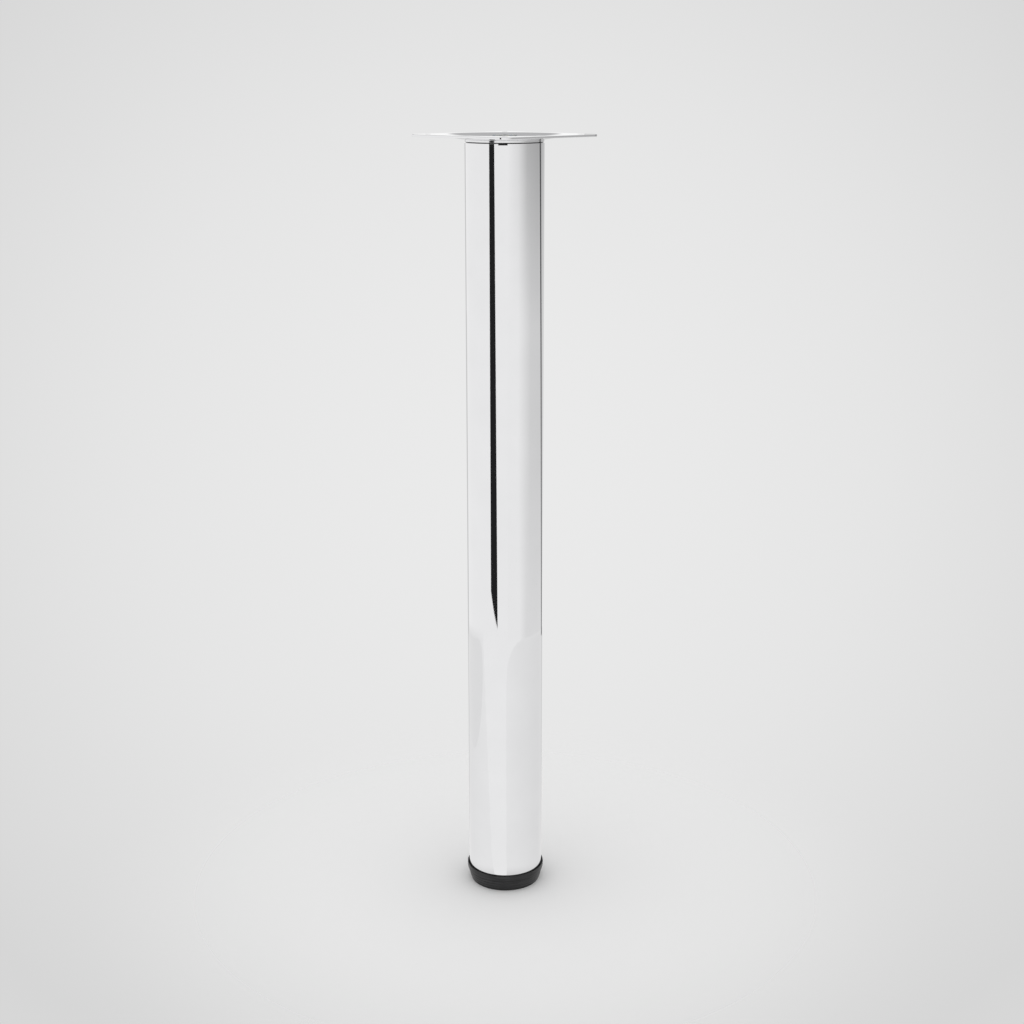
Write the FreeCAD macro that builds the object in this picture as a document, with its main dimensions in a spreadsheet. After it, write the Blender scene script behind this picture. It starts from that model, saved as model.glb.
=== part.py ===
import FreeCAD, Part
import math
import os
import Sketcher

# Height adjustable table leg: a chromed tube with a pressed mounting plate on top and a screw foot below.
# Millimetres, +Z up, origin on the floor in the middle of the foot, with the foot screwed fully in.

# Driving dimensions
DIMENSIONS = {
    # Whole leg, floor to the mounting plate's top face
    "leg_height": 710.0,
    # Tube
    "tube_diameter": 70.0,
    "tube_wall": 1.2,
    "tube_edge_break": 0.3,
    "press_clearance": 0.1,
    # Mounting plate, a pressed sheet with a round dish that carries the bolt's head below the table top
    "plate_width": 120.0,
    "plate_corner_radius": 10.0,
    "sheet_thickness": 2.0,
    "sheet_edge_break": 0.4,
    "dish_depth": 2.0,
    "dish_mouth_diameter": 104.0,
    "dish_margin": 3.0,
    "dish_bend_radius": 6.0,
    "screw_inset": 13.0,
    "screw_hole_diameter": 5.5,
    "screw_head_diameter": 8.3,
    # Bolt that clamps the plate to the top plug
    "bolt_diameter": 10.0,
    "bolt_length": 18.0,
    "bolt_head_diameter": 22.0,
    "bolt_head_sunk": 0.2,
    "bolt_head_chamfer": 0.5,
    "bolt_socket_flats": 6.0,
    "bolt_socket_depth": 4.0,
    "bolt_hole_clearance": 0.3,
    "bolt_tip_chamfer": 1.0,
    # Top plug, a die casting with a flange on the tube's end
    "flange_thickness": 3.0,
    "flange_setback": 0.2,
    "flange_chamfer": 0.8,
    "flange_edge_break": 0.3,
    "spigot_length": 14.0,
    "spigot_wall": 3.0,
    "spigot_chamfer": 0.8,
    "spigot_web": 3.0,
    "bolt_boss_diameter": 20.0,
    "casting_rib": 2.5,
    # Bottom plug, moulded, with a pocket for the nut
    "plug_setback": 1.0,
    "plug_height": 24.0,
    "plug_wall": 2.5,
    "plug_floor": 4.0,
    "nut_pocket_wall": 3.5,
    "plug_rib": 2.0,
    "plug_chamfer": 0.8,
    # Nut and spindle
    "nut_flats": 18.0,
    "nut_height": 10.0,
    "pocket_clearance": 0.1,
    "spindle_diameter": 12.0,
    "spindle_clearance": 0.4,
    "thread_clearance": 0.05,
    "spindle_head_flats": 18.0,
    "spindle_head_height": 7.5,
    "spindle_tip_chamfer": 1.2,
    "spindle_spare": 2.0,
    "raise_travel": 20.0,
    # Foot, moulded, with a rim round the tube's end
    "foot_height": 13.9,
    "foot_rim_wall": 1.35,
    "foot_rim_height": 3.8,
    "foot_rim_chamfer": 0.5,
    "foot_taper": 2.95,
    "seat_depth": 1.5,
    "seat_clearance": 0.4,
    "foot_web": 3.0,
    "skirt_wall": 2.6,
    "head_pocket_wall": 3.5,
    "foot_boss_lift": 0.6,
    "foot_rib": 2.0,
    "grip_depth": 0.35,
    "grip_start": 2.0,
    # Floor glide, a disc that snaps into the foot and turns in it
    "glide_step": 0.8,
    "glide_rim_height": 2.6,
    "glide_edge_chamfer": 0.4,
    "glide_land": 7.0,
    "glide_hollow_depth": 0.8,
    "pivot_diameter": 15.0,
    "snap_clearance": 0.3,
    "snap_wall": 1.4,
    "snap_lip": 1.8,
    "snap_bead": 0.6,
    "snap_slot": 3.0,
}

# Numbers of like features
CASTING_RIBS = 6
PLUG_RIBS = 6
FOOT_RIBS = 8
GRIP_RINGS = 3
SNAP_SLOTS = 6
SCREW_HOLES = 4
HEXAGON_SIDES = 6

FULL_TURN = 360.0
COUNTERSINK_ANGLE = 90.0
# How much wider than a hexagon's corners the ring that bevels them is
BEVEL_REACH = 1.05
# Closeness that finds an edge by its place
NEAR = 1e-4

# Levels above the floor, as formulas of the driving dimensions
TUBE_END = "(dims.glide_rim_height + dims.foot_height - dims.seat_depth)"
DISH_UNDERSIDE = "(dims.leg_height - dims.sheet_thickness - dims.dish_depth)"
TUBE_TOP = "(" + DISH_UNDERSIDE + " - dims.flange_thickness)"
FOOT_WEB_UNDERSIDE = "(" + TUBE_END + " - dims.foot_web)"
NUT_SEAT = "(" + TUBE_END + " + dims.plug_setback + dims.plug_floor)"

# Radii that more than one piece needs
TUBE_BORE = "(dims.tube_diameter / 2 - dims.tube_wall)"
FOOT_SEAT = "(dims.tube_diameter / 2 + dims.seat_clearance)"
FOOT_RIM = "(" + FOOT_SEAT + " + dims.foot_rim_wall)"
FOOT_BASE = "(" + FOOT_RIM + " - dims.foot_taper)"
SNAP_BORE = "(" + FOOT_BASE + " - dims.skirt_wall)"

doc = FreeCAD.newDocument("table_leg")
sheet = doc.addObject("Spreadsheet::Sheet", "dims")
for row, (alias, number) in enumerate(DIMENSIONS.items(), start=1):
    sheet.set(f"A{row}", alias)
    sheet.set(f"B{row}", str(number))
    sheet.setAlias(f"B{row}", alias)
doc.recompute()


def value(formula):
    """The number that a formula of the driving dimensions has now."""
    return float(sheet.evalExpression(formula))


def new_body(name, level):
    """An empty body whose own zero height stands at a level above the floor."""
    body = doc.addObject("PartDesign::Body", name)
    body.Label = name
    body.setExpression("Placement.Base.z", level)
    return body


def origin_feature(body, role):
    return next(item for item in body.Origin.OriginFeatures if item.Role == role)


def new_sketch(body, name, role, height="0"):
    """A sketch on one of the body's own origin planes, lifted by a height along that plane's normal."""
    sketch = body.newObject("Sketcher::SketchObject", name)
    sketch.AttachmentSupport = [(origin_feature(body, role), "")]
    sketch.MapMode = "FlatFace"
    if height != "0":
        sketch.setExpression("AttachmentOffset.Base.z", height)
    return sketch


def place_point(sketch, line, across, along):
    """Ties a line's start, or a point, to formulas for its two coordinates."""
    for formula, kind, axis in ((across, "DistanceX", -2), (along, "DistanceY", -1)):
        if formula == "0":
            sketch.addConstraint(Sketcher.Constraint("PointOnObject", line, 1, axis))
            continue
        index = sketch.addConstraint(Sketcher.Constraint(kind, -1, 1, line, 1, value(formula)))
        sketch.setExpression(f"Constraints[{index}]", formula)


def outline(sketch, corners):
    """A closed outline. A corner is two formulas, and a bent corner has a third one for its radius."""
    points = [FreeCAD.Vector(value(corner[0]), value(corner[1]), 0) for corner in corners]
    count = len(points)
    arrivals = []
    departures = []
    for number, corner in enumerate(corners):
        incoming = (points[number] - points[number - 1]).normalize()
        outgoing = (points[(number + 1) % count] - points[number]).normalize()
        trim = 0.0
        if len(corner) > 2:
            trim = value(corner[2]) * math.tan(incoming.getAngle(outgoing) / 2)
        arrivals.append(points[number] - incoming * trim)
        departures.append(points[number] + outgoing * trim)
    first = sketch.GeometryCount
    for number in range(count):
        sketch.addGeometry(Part.LineSegment(departures[number], arrivals[(number + 1) % count]))
    for number, corner in enumerate(corners):
        before = first + (number - 1) % count
        after = first + number
        if len(corner) == 2:
            sketch.addConstraint(Sketcher.Constraint("Coincident", before, 2, after, 1))
            place_point(sketch, after, *corner)
            continue
        marker = sketch.addGeometry(Part.Point(points[number]), True)
        place_point(sketch, marker, corner[0], corner[1])
        sketch.addConstraint(Sketcher.Constraint("PointOnObject", marker, 1, before))
        sketch.addConstraint(Sketcher.Constraint("PointOnObject", marker, 1, after))
        bend(sketch, before, after, arrivals[number], points[number], departures[number], corner[2])


def bend(sketch, before, after, arrival, corner, departure, radius):
    """An arc of a given radius from the end of one line to the start of the next."""
    chord_middle = (arrival + departure) / 2
    inward = (chord_middle - corner).normalize()
    half_chord = (departure - arrival).Length / 2
    size = value(radius)
    centre = chord_middle + inward * math.sqrt(size * size - half_chord * half_chord)
    arc = sketch.addGeometry(Part.Arc(arrival, centre - inward * size, departure))
    starts_at_arrival = (sketch.getPoint(arc, 1) - arrival).Length < NEAR
    near_end, far_end = (1, 2) if starts_at_arrival else (2, 1)
    sketch.addConstraint(Sketcher.Constraint("Tangent", before, 2, arc, near_end))
    sketch.addConstraint(Sketcher.Constraint("Tangent", arc, far_end, after, 1))
    index = sketch.addConstraint(Sketcher.Constraint("Radius", arc, size))
    sketch.setExpression(f"Constraints[{index}]", radius)


def circle(sketch, diameter, across="0", along="0"):
    centre = FreeCAD.Vector(value(across), value(along), 0)
    number = sketch.addGeometry(Part.Circle(centre, FreeCAD.Vector(0, 0, 1), value(diameter) / 2))
    if across == "0" and along == "0":
        sketch.addConstraint(Sketcher.Constraint("Coincident", number, 3, -1, 1))
    else:
        for formula, kind in ((across, "DistanceX"), (along, "DistanceY")):
            index = sketch.addConstraint(Sketcher.Constraint(kind, -1, 1, number, 3, value(formula)))
            sketch.setExpression(f"Constraints[{index}]", formula)
    index = sketch.addConstraint(Sketcher.Constraint("Diameter", number, value(diameter)))
    sketch.setExpression(f"Constraints[{index}]", diameter)
    return number


def hexagon(sketch, flats):
    """A regular hexagon round the origin, tied to its width across flats."""
    rim = circle(sketch, flats + " * 2 / sqrt(3)")
    sketch.toggleConstruction(rim)
    corner_radius = value(flats + " / sqrt(3)")
    corners = []
    for number in range(HEXAGON_SIDES):
        turn = FreeCAD.Rotation(FreeCAD.Vector(0, 0, 1), FULL_TURN * number / HEXAGON_SIDES)
        corners.append(turn.multVec(FreeCAD.Vector(corner_radius, 0, 0)))
    lines = []
    for number, corner in enumerate(corners):
        following = corners[(number + 1) % HEXAGON_SIDES]
        lines.append(sketch.addGeometry(Part.LineSegment(corner, following)))
    for number, line in enumerate(lines):
        following = lines[(number + 1) % HEXAGON_SIDES]
        sketch.addConstraint(Sketcher.Constraint("Coincident", line, 2, following, 1))
        sketch.addConstraint(Sketcher.Constraint("PointOnObject", line, 1, rim))
        if number:
            sketch.addConstraint(Sketcher.Constraint("Equal", lines[0], line))
    sketch.addConstraint(Sketcher.Constraint("PointOnObject", lines[0], 1, -1))


def bar(sketch, start, end, width):
    """A rectangle along X, from one distance to another, centred across."""
    half = value(width) / 2
    low = value(start)
    high = value(end)
    corners = [
        FreeCAD.Vector(low, -half, 0),
        FreeCAD.Vector(high, -half, 0),
        FreeCAD.Vector(high, half, 0),
        FreeCAD.Vector(low, half, 0),
    ]
    for number in range(4):
        sketch.addGeometry(Part.LineSegment(corners[number], corners[(number + 1) % 4]))
    for number in range(4):
        sketch.addConstraint(Sketcher.Constraint("Coincident", number, 2, (number + 1) % 4, 1))
    sketch.addConstraint(Sketcher.Constraint("Horizontal", 0))
    sketch.addConstraint(Sketcher.Constraint("Horizontal", 2))
    sketch.addConstraint(Sketcher.Constraint("Vertical", 3))
    sketch.addConstraint(Sketcher.Constraint("Symmetric", 1, 1, 1, 2, -1))
    for formula, point in ((start, (0, 1)), (end, (1, 1))):
        index = sketch.addConstraint(Sketcher.Constraint("DistanceX", -1, 1, *point, value(formula)))
        sketch.setExpression(f"Constraints[{index}]", formula)
    index = sketch.addConstraint(Sketcher.Constraint("DistanceY", 1, 1, 1, 2, value(width)))
    sketch.setExpression(f"Constraints[{index}]", width)


def feature(body, kind, name, profile):
    made = body.newObject("PartDesign::" + kind, name)
    made.Profile = profile
    return made


def pad(body, name, sketch, length):
    made = feature(body, "Pad", name, sketch)
    made.setExpression("Length", length)
    doc.recompute()
    return made


def cut(body, name, sketch, length, upward=True):
    """A pocket from its sketch, upward or downward, that has to take material away."""
    before = body.Shape.Volume
    made = feature(body, "Pocket", name, sketch)
    made.setExpression("Length", length)
    made.Reversed = upward
    doc.recompute()
    if made.Shape.Volume >= before:
        raise RuntimeError(f"{name} cuts nothing")
    return made


def revolve(body, name, sketch, kind="Revolution"):
    made = feature(body, kind, name, sketch)
    made.ReferenceAxis = (sketch, ["V_Axis"])
    made.Angle = FULL_TURN
    doc.recompute()
    return made


def turned_cut(body, name, sketch):
    before = body.Shape.Volume
    made = revolve(body, name, sketch, "Groove")
    if made.Shape.Volume >= before:
        raise RuntimeError(f"{name} cuts nothing")
    return made


def ring_edges(solid, rings):
    """Names of the round edges that lie at given radii and heights."""
    wanted = [(value(radius), value(height)) for radius, height in rings]
    names = []
    for number, edge in enumerate(solid.Shape.Edges, start=1):
        curve = edge.Curve
        if not isinstance(curve, Part.Circle):
            continue
        for radius, height in wanted:
            if abs(curve.Radius - radius) < NEAR and abs(curve.Center.z - height) < NEAR:
                names.append(f"Edge{number}")
    if len(names) < len(wanted):
        raise RuntimeError(f"{solid.Label}: a round edge is missing")
    return names


def soften(body, name, solid, edges, size, kind="Fillet"):
    """Rounds or chamfers named edges of the body so far."""
    made = body.newObject("PartDesign::" + kind, name)
    made.Base = (solid, edges)
    made.setExpression("Radius" if kind == "Fillet" else "Size", size)
    doc.recompute()
    return made


def repeat_round(body, name, original, count):
    pattern = body.newObject("PartDesign::PolarPattern", name)
    pattern.Originals = [original]
    pattern.Axis = (origin_feature(body, "Z_Axis"), [""])
    pattern.Angle = FULL_TURN
    pattern.Occurrences = count
    body.Tip = pattern
    doc.recompute()
    return pattern


def bevel_hexagon(body, name, flats, top_heights, bottom_heights=()):
    """Turns the corners of a hexagon back at 30 degrees, as on every cold formed nut and bolt head."""
    flat = f"({flats} / 2)"
    beyond = f"({flats} / sqrt(3) * {BEVEL_REACH})"
    drop = f"(({beyond} - {flat}) / sqrt(3))"
    sketch = new_sketch(body, name + "_profile", "XZ_Plane")
    for height in top_heights:
        outline(sketch, [(flat, height), (beyond, height), (beyond, f"({height} - {drop})")])
    for height in bottom_heights:
        rise = drop if height == "0" else f"({height} + {drop})"
        outline(sketch, [(flat, height), (beyond, rise), (beyond, height)])
    return turned_cut(body, name, sketch)


# Mounting plate: a square sheet with a round dish pressed down in its middle
def mounting_plate():
    body = new_body("mounting_plate", DISH_UNDERSIDE)
    half = "(dims.plate_width / 2)"
    top = "(dims.dish_depth + dims.sheet_thickness)"
    mouth = "(dims.dish_mouth_diameter / 2)"
    floor = "(dims.tube_diameter / 2 + dims.dish_margin)"
    flat_rim = f"({half} - dims.sheet_edge_break - {mouth})"
    land = f"({mouth} + {flat_rim} / 2)"
    # A bend runs onto the flat rim by its radius times the tangent of half its angle, and may use half the land
    slope_run = f"({mouth} - {floor})"
    half_bend_tangent = f"(dims.dish_depth / ({slope_run} + sqrt({slope_run}^2 + dims.dish_depth^2)))"
    bend_limit = f"({flat_rim} / 4 / {half_bend_tangent})"
    inner_bend = f"min(dims.dish_bend_radius; {bend_limit})"
    outer_bend = f"min(dims.dish_bend_radius + dims.sheet_thickness; {bend_limit})"

    sketch = new_sketch(body, "plate_outline", "XY_Plane", "dims.dish_depth")
    bar(sketch, "-" + half, half, "dims.plate_width")
    blank = pad(body, "plate_blank", sketch, "dims.sheet_thickness")
    upright = []
    for number, edge in enumerate(blank.Shape.Edges, start=1):
        if abs(edge.BoundBox.ZLength - edge.Length) < NEAR:
            upright.append(f"Edge{number}")
    blank = soften(body, "plate_corners", blank, upright, "dims.plate_corner_radius")

    below = new_sketch(body, "dish_below", "XZ_Plane")
    buried = "(dims.dish_depth + dims.sheet_thickness / 2)"
    outline(below, [
        ("0", "0"), (floor, "0", outer_bend), (mouth, "dims.dish_depth", inner_bend),
        (land, "dims.dish_depth"), (land, buried), ("0", buried),
    ])
    revolve(body, "dish_underside", below)
    above = new_sketch(body, "dish_above", "XZ_Plane")
    clear = "(" + top + " + dims.sheet_thickness)"
    outline(above, [
        ("0", "dims.sheet_thickness"), (floor, "dims.sheet_thickness", inner_bend), (mouth, top, outer_bend),
        (land, top), (land, clear), ("0", clear),
    ])
    turned_cut(body, "dish_hollow", above)

    sketch = new_sketch(body, "bolt_hole_outline", "XY_Plane")
    circle(sketch, "dims.bolt_diameter + 2 * dims.bolt_hole_clearance")
    cut(body, "bolt_hole", sketch, top)

    sketch = new_sketch(body, "screw_hole_centre", "XY_Plane", "dims.dish_depth")
    inset = f"({half} - dims.screw_inset)"
    circle(sketch, "dims.screw_hole_diameter", inset, inset)
    doc.recompute()
    hole = feature(body, "Hole", "screw_hole", sketch)
    hole.DepthType = "ThroughAll"
    hole.Reversed = True
    hole.setExpression("Diameter", "dims.screw_hole_diameter")
    hole.HoleCutType = "Countersink"
    hole.HoleCutCountersinkAngle = COUNTERSINK_ANGLE
    hole.setExpression("HoleCutDiameter", "dims.screw_head_diameter")
    doc.recompute()
    pattern = repeat_round(body, "screw_holes", hole, SCREW_HOLES)

    rim = []
    for number, edge in enumerate(pattern.Shape.Edges, start=1):
        box = edge.BoundBox
        level = box.ZLength < NEAR
        outermost = max(box.XMax, -box.XMin, box.YMax, -box.YMin) > value(half) - NEAR
        if level and outermost:
            rim.append(f"Edge{number}")
    soften(body, "sheet_edges", pattern, rim, "dims.sheet_edge_break", "Chamfer")
    return body


# Plate bolt: thin head in the plate's dish, hexagon socket that reaches into the shank
def plate_bolt():
    body = new_body("plate_bolt", "(" + DISH_UNDERSIDE + " + dims.sheet_thickness - dims.bolt_length)")
    shank = "(dims.bolt_diameter / 2)"
    head = "(dims.bolt_head_diameter / 2)"
    top = "(dims.bolt_length + dims.dish_depth - dims.bolt_head_sunk)"
    sketch = new_sketch(body, "bolt_profile", "XZ_Plane")
    outline(sketch, [
        ("0", "0"), (shank, "0"), (shank, "dims.bolt_length"),
        (head, "dims.bolt_length"), (head, top), ("0", top),
    ])
    solid = revolve(body, "bolt_blank", sketch)
    solid = soften(body, "bolt_tip", solid, ring_edges(solid, [(shank, "0")]), "dims.bolt_tip_chamfer", "Chamfer")
    edge = ring_edges(solid, [(head, top)])
    soften(body, "bolt_head_edge", solid, edge, "dims.bolt_head_chamfer", "Chamfer")
    sketch = new_sketch(body, "socket_outline", "XY_Plane", top)
    hexagon(sketch, "dims.bolt_socket_flats")
    cut(body, "socket", sketch, "dims.bolt_socket_depth", upward=False)
    return body


# Top plug: flange on the tube's end, hollow spigot inside it, boss for the bolt and ribs between
def top_plug():
    body = new_body("top_plug", "(" + TUBE_TOP + " - dims.spigot_length)")
    bore = "(dims.bolt_diameter / 2 + dims.thread_clearance)"
    boss = "(dims.bolt_boss_diameter / 2)"
    spigot = "(" + TUBE_BORE + " - dims.press_clearance)"
    hollow = "(" + spigot + " - dims.spigot_wall)"
    flange = "(dims.tube_diameter / 2 - dims.flange_setback)"
    web = "(dims.spigot_length - dims.spigot_web)"
    top = "(dims.spigot_length + dims.flange_thickness)"
    sketch = new_sketch(body, "plug_profile", "XZ_Plane")
    outline(sketch, [
        (bore, "0"), (boss, "0"), (boss, web), (hollow, web), (hollow, "0"), (spigot, "0"),
        (spigot, "dims.spigot_length"), (flange, "dims.spigot_length"), (flange, top), (bore, top),
    ])
    solid = revolve(body, "plug_casting", sketch)
    upper = ring_edges(solid, [(flange, top)])
    solid = soften(body, "flange_top_edge", solid, upper, "dims.flange_chamfer", "Chamfer")
    lower = ring_edges(solid, [(flange, "dims.spigot_length")])
    solid = soften(body, "flange_low_edge", solid, lower, "dims.flange_edge_break", "Chamfer")
    lead = ring_edges(solid, [(spigot, "0")])
    soften(body, "spigot_lead", solid, lead, "dims.spigot_chamfer", "Chamfer")
    sketch = new_sketch(body, "casting_rib_outline", "XY_Plane", "dims.spigot_chamfer")
    middle = "(dims.spigot_wall / 2)"
    bar(sketch, f"({boss} - {middle})", f"({hollow} + {middle})", "dims.casting_rib")
    rib = pad(body, "casting_rib", sketch, f"{web} - dims.spigot_chamfer")
    repeat_round(body, "casting_ribs", rib, CASTING_RIBS)
    return body


# Leg tube: welded steel tube with its cut edges broken
def leg_tube():
    body = new_body("leg_tube", TUBE_END)
    length = "(" + TUBE_TOP + " - " + TUBE_END + ")"
    outside = "(dims.tube_diameter / 2)"
    sketch = new_sketch(body, "tube_section", "XY_Plane")
    circle(sketch, "dims.tube_diameter")
    circle(sketch, TUBE_BORE + " * 2")
    solid = pad(body, "tube_run", sketch, length)
    ends = ring_edges(solid, [(outside, "0"), (outside, length)])
    soften(body, "tube_edges", solid, ends, "dims.tube_edge_break", "Chamfer")
    return body


# Bottom plug: moulded cup pressed into the tube, with a hexagon pocket for the nut and ribs round it
def bottom_plug():
    body = new_body("bottom_plug", "(" + TUBE_END + " + dims.plug_setback)")
    bore = "(dims.spindle_diameter / 2 + dims.spindle_clearance)"
    outside = "(" + TUBE_BORE + " - dims.press_clearance)"
    inside = "(" + outside + " - dims.plug_wall)"
    pocket = "(dims.nut_flats + 2 * dims.pocket_clearance)"
    boss = "(" + pocket + " / sqrt(3) + dims.nut_pocket_wall)"
    boss_top = "(dims.plug_floor + dims.nut_height)"
    sketch = new_sketch(body, "plug_profile", "XZ_Plane")
    outline(sketch, [
        (bore, "0"), (outside, "0"), (outside, "dims.plug_height"), (inside, "dims.plug_height"),
        (inside, "dims.plug_floor"), (boss, "dims.plug_floor"), (boss, boss_top), (bore, boss_top),
    ])
    solid = revolve(body, "plug_moulding", sketch)
    lead = ring_edges(solid, [(outside, "dims.plug_height")])
    soften(body, "plug_lead", solid, lead, "dims.plug_chamfer", "Chamfer")
    sketch = new_sketch(body, "nut_pocket_outline", "XY_Plane", "dims.plug_floor")
    hexagon(sketch, pocket)
    cut(body, "nut_pocket", sketch, "dims.nut_height")
    sketch = new_sketch(body, "plug_rib_outline", "XY_Plane", "dims.plug_floor / 2")
    middle = "(dims.plug_wall / 2)"
    bar(sketch, f"({boss} - {middle})", f"({inside} + {middle})", "dims.plug_rib")
    rib = pad(body, "plug_rib", sketch, "dims.plug_floor / 2 + dims.nut_height - dims.plug_rib")
    repeat_round(body, "plug_ribs", rib, PLUG_RIBS)
    return body


# Nut: hexagon nut in the bottom plug's pocket
def plug_nut():
    body = new_body("plug_nut", NUT_SEAT)
    sketch = new_sketch(body, "nut_outline", "XY_Plane")
    hexagon(sketch, "dims.nut_flats")
    circle(sketch, "dims.spindle_diameter + 2 * dims.thread_clearance")
    pad(body, "nut_blank", sketch, "dims.nut_height")
    bevel_hexagon(body, "nut_bevel", "dims.nut_flats", ["dims.nut_height"], ["0"])
    return body


# Spindle: hexagon head in the foot, shank long enough to fill the nut at full height
def foot_spindle():
    body = new_body("foot_spindle", "(" + FOOT_WEB_UNDERSIDE + " - dims.spindle_head_height)")
    shank = "(dims.spindle_diameter / 2)"
    nut_top = "(" + NUT_SEAT + " + dims.nut_height)"
    shank_length = f"({nut_top} + dims.raise_travel + dims.spindle_spare - {FOOT_WEB_UNDERSIDE})"
    tip = f"(dims.spindle_head_height + {shank_length})"
    sketch = new_sketch(body, "head_outline", "XY_Plane")
    hexagon(sketch, "dims.spindle_head_flats")
    pad(body, "spindle_head", sketch, "dims.spindle_head_height")
    bevel_hexagon(body, "head_bevel", "dims.spindle_head_flats", [], ["0"])
    sketch = new_sketch(body, "shank_outline", "XY_Plane", "dims.spindle_head_height")
    circle(sketch, "dims.spindle_diameter")
    solid = pad(body, "spindle_shank", sketch, shank_length)
    end = ring_edges(solid, [(shank, tip)])
    soften(body, "spindle_tip", solid, end, "dims.spindle_tip_chamfer", "Chamfer")
    return body


# Foot: rim round the tube's end, tapered skirt with grip rings, ribs and a head pocket underneath
def foot():
    body = new_body("foot", "dims.glide_rim_height")
    seat_floor = "(dims.foot_height - dims.seat_depth)"
    web = "(" + seat_floor + " - dims.foot_web)"
    rim_foot = "(dims.foot_height - dims.foot_rim_height)"
    groove = "(" + SNAP_BORE + " + dims.snap_bead)"
    groove_top = "(dims.snap_lip + 2 * dims.snap_clearance + 2 * dims.snap_bead)"
    inside = "(" + FOOT_RIM + " - dims.skirt_wall)"
    pocket = "(dims.spindle_head_flats + 2 * dims.pocket_clearance)"
    boss = "(" + pocket + " / sqrt(3) + dims.head_pocket_wall)"
    hole = "(dims.spindle_diameter / 2 + dims.pocket_clearance)"
    sketch = new_sketch(body, "foot_profile", "XZ_Plane")
    outline(sketch, [
        (hole, "dims.foot_boss_lift"), (boss, "dims.foot_boss_lift"), (boss, web), (inside, web),
        (groove, groove_top), (groove, "dims.snap_lip"), (SNAP_BORE, "dims.snap_lip"), (SNAP_BORE, "0"),
        (FOOT_BASE, "0"), (FOOT_RIM, rim_foot), (FOOT_RIM, "dims.foot_height"),
        (FOOT_SEAT, "dims.foot_height"), (FOOT_SEAT, seat_floor), (hole, seat_floor),
    ])
    solid = revolve(body, "foot_moulding", sketch)
    edges = ring_edges(solid, [(FOOT_RIM, "dims.foot_height")])
    soften(body, "rim_edge", solid, edges, "dims.foot_rim_chamfer", "Chamfer")

    rings = new_sketch(body, "grip_profile", "XZ_Plane")
    slope = f"(dims.foot_taper / {rim_foot})"
    pitch = f"(({rim_foot} - 2 * dims.grip_start) / {GRIP_RINGS - 1})"
    for number in range(GRIP_RINGS):
        middle = f"(dims.grip_start + {number} * {pitch})"
        low = f"({middle} - 2 * dims.grip_depth)"
        high = f"({middle} + 2 * dims.grip_depth)"
        outline(rings, [
            (f"({FOOT_BASE} + {slope} * {middle} - dims.grip_depth)", middle),
            (f"({FOOT_BASE} + {slope} * {low} + dims.grip_depth)", low),
            (f"({FOOT_BASE} + {slope} * {high} + dims.grip_depth)", high),
        ])
    turned_cut(body, "grip_rings", rings)

    sketch = new_sketch(body, "head_pocket_outline", "XY_Plane")
    hexagon(sketch, pocket)
    cut(body, "head_pocket", sketch, web)

    rib_foot = f"({groove_top} + dims.snap_clearance)"
    sketch = new_sketch(body, "foot_rib_outline", "XY_Plane", rib_foot)
    middle = "(dims.skirt_wall / 2)"
    bar(sketch, f"({boss} - {middle})", inside, "dims.foot_rib")
    rib = pad(body, "foot_rib", sketch, f"{web} + dims.foot_web / 2 - {rib_foot}")
    repeat_round(body, "foot_ribs", rib, FOOT_RIBS)
    return body


# Floor glide: disc with a pivot under the spindle's head and a slotted ring that snaps into the foot
def floor_glide():
    body = new_body("floor_glide", "0")
    edge = "(" + FOOT_BASE + " - dims.glide_step)"
    hollow = "(" + edge + " - dims.glide_land)"
    ring = "(" + SNAP_BORE + " - dims.snap_clearance)"
    ring_inside = "(" + ring + " - dims.snap_wall)"
    bead_foot = "(dims.glide_rim_height + dims.snap_lip + dims.snap_clearance)"
    bead_middle = "(" + bead_foot + " + dims.snap_bead)"
    bead_top = "(" + bead_middle + " + dims.snap_bead)"
    pivot = "(dims.pivot_diameter / 2)"
    pivot_top = "(" + FOOT_WEB_UNDERSIDE + " - dims.spindle_head_height)"
    sketch = new_sketch(body, "glide_profile", "XZ_Plane")
    outline(sketch, [
        ("0", "dims.glide_hollow_depth"), (f"({hollow} - dims.glide_hollow_depth)", "dims.glide_hollow_depth"),
        (hollow, "0"), (edge, "0"), (edge, "dims.glide_rim_height"), (ring, "dims.glide_rim_height"),
        (ring, bead_foot), (f"({ring} + dims.snap_bead)", bead_middle), (ring, bead_top),
        (ring_inside, bead_top), (ring_inside, "dims.glide_rim_height"),
        (pivot, "dims.glide_rim_height"), (pivot, pivot_top), ("0", pivot_top),
    ])
    solid = revolve(body, "glide_moulding", sketch)
    edges = ring_edges(solid, [(edge, "0")])
    soften(body, "glide_edge", solid, edges, "dims.glide_edge_chamfer", "Chamfer")
    sketch = new_sketch(body, "snap_slot_outline", "XY_Plane", "dims.glide_rim_height")
    bar(sketch, f"({ring_inside} - dims.snap_wall)", f"({ring} + 2 * dims.snap_bead)", "dims.snap_slot")
    slot = cut(body, "snap_slot", sketch, f"{bead_top} - dims.glide_rim_height + dims.snap_bead")
    repeat_round(body, "snap_slots", slot, SNAP_SLOTS)
    return body


pieces = [
    mounting_plate(),
    plate_bolt(),
    top_plug(),
    leg_tube(),
    bottom_plug(),
    plug_nut(),
    foot_spindle(),
    foot(),
    floor_glide(),
]
doc.recompute()

# Every object has to be sound before anything is written
for item in doc.Objects:
    if "Invalid" in item.State or "Error" in item.State:
        raise RuntimeError(f"{item.Label} failed: {item.State}")
for piece in pieces:
    if piece.Shape.isNull() or not piece.Shape.isValid() or len(piece.Shape.Solids) != 1:
        raise RuntimeError(f"{piece.Label} is not one sound solid")

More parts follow.
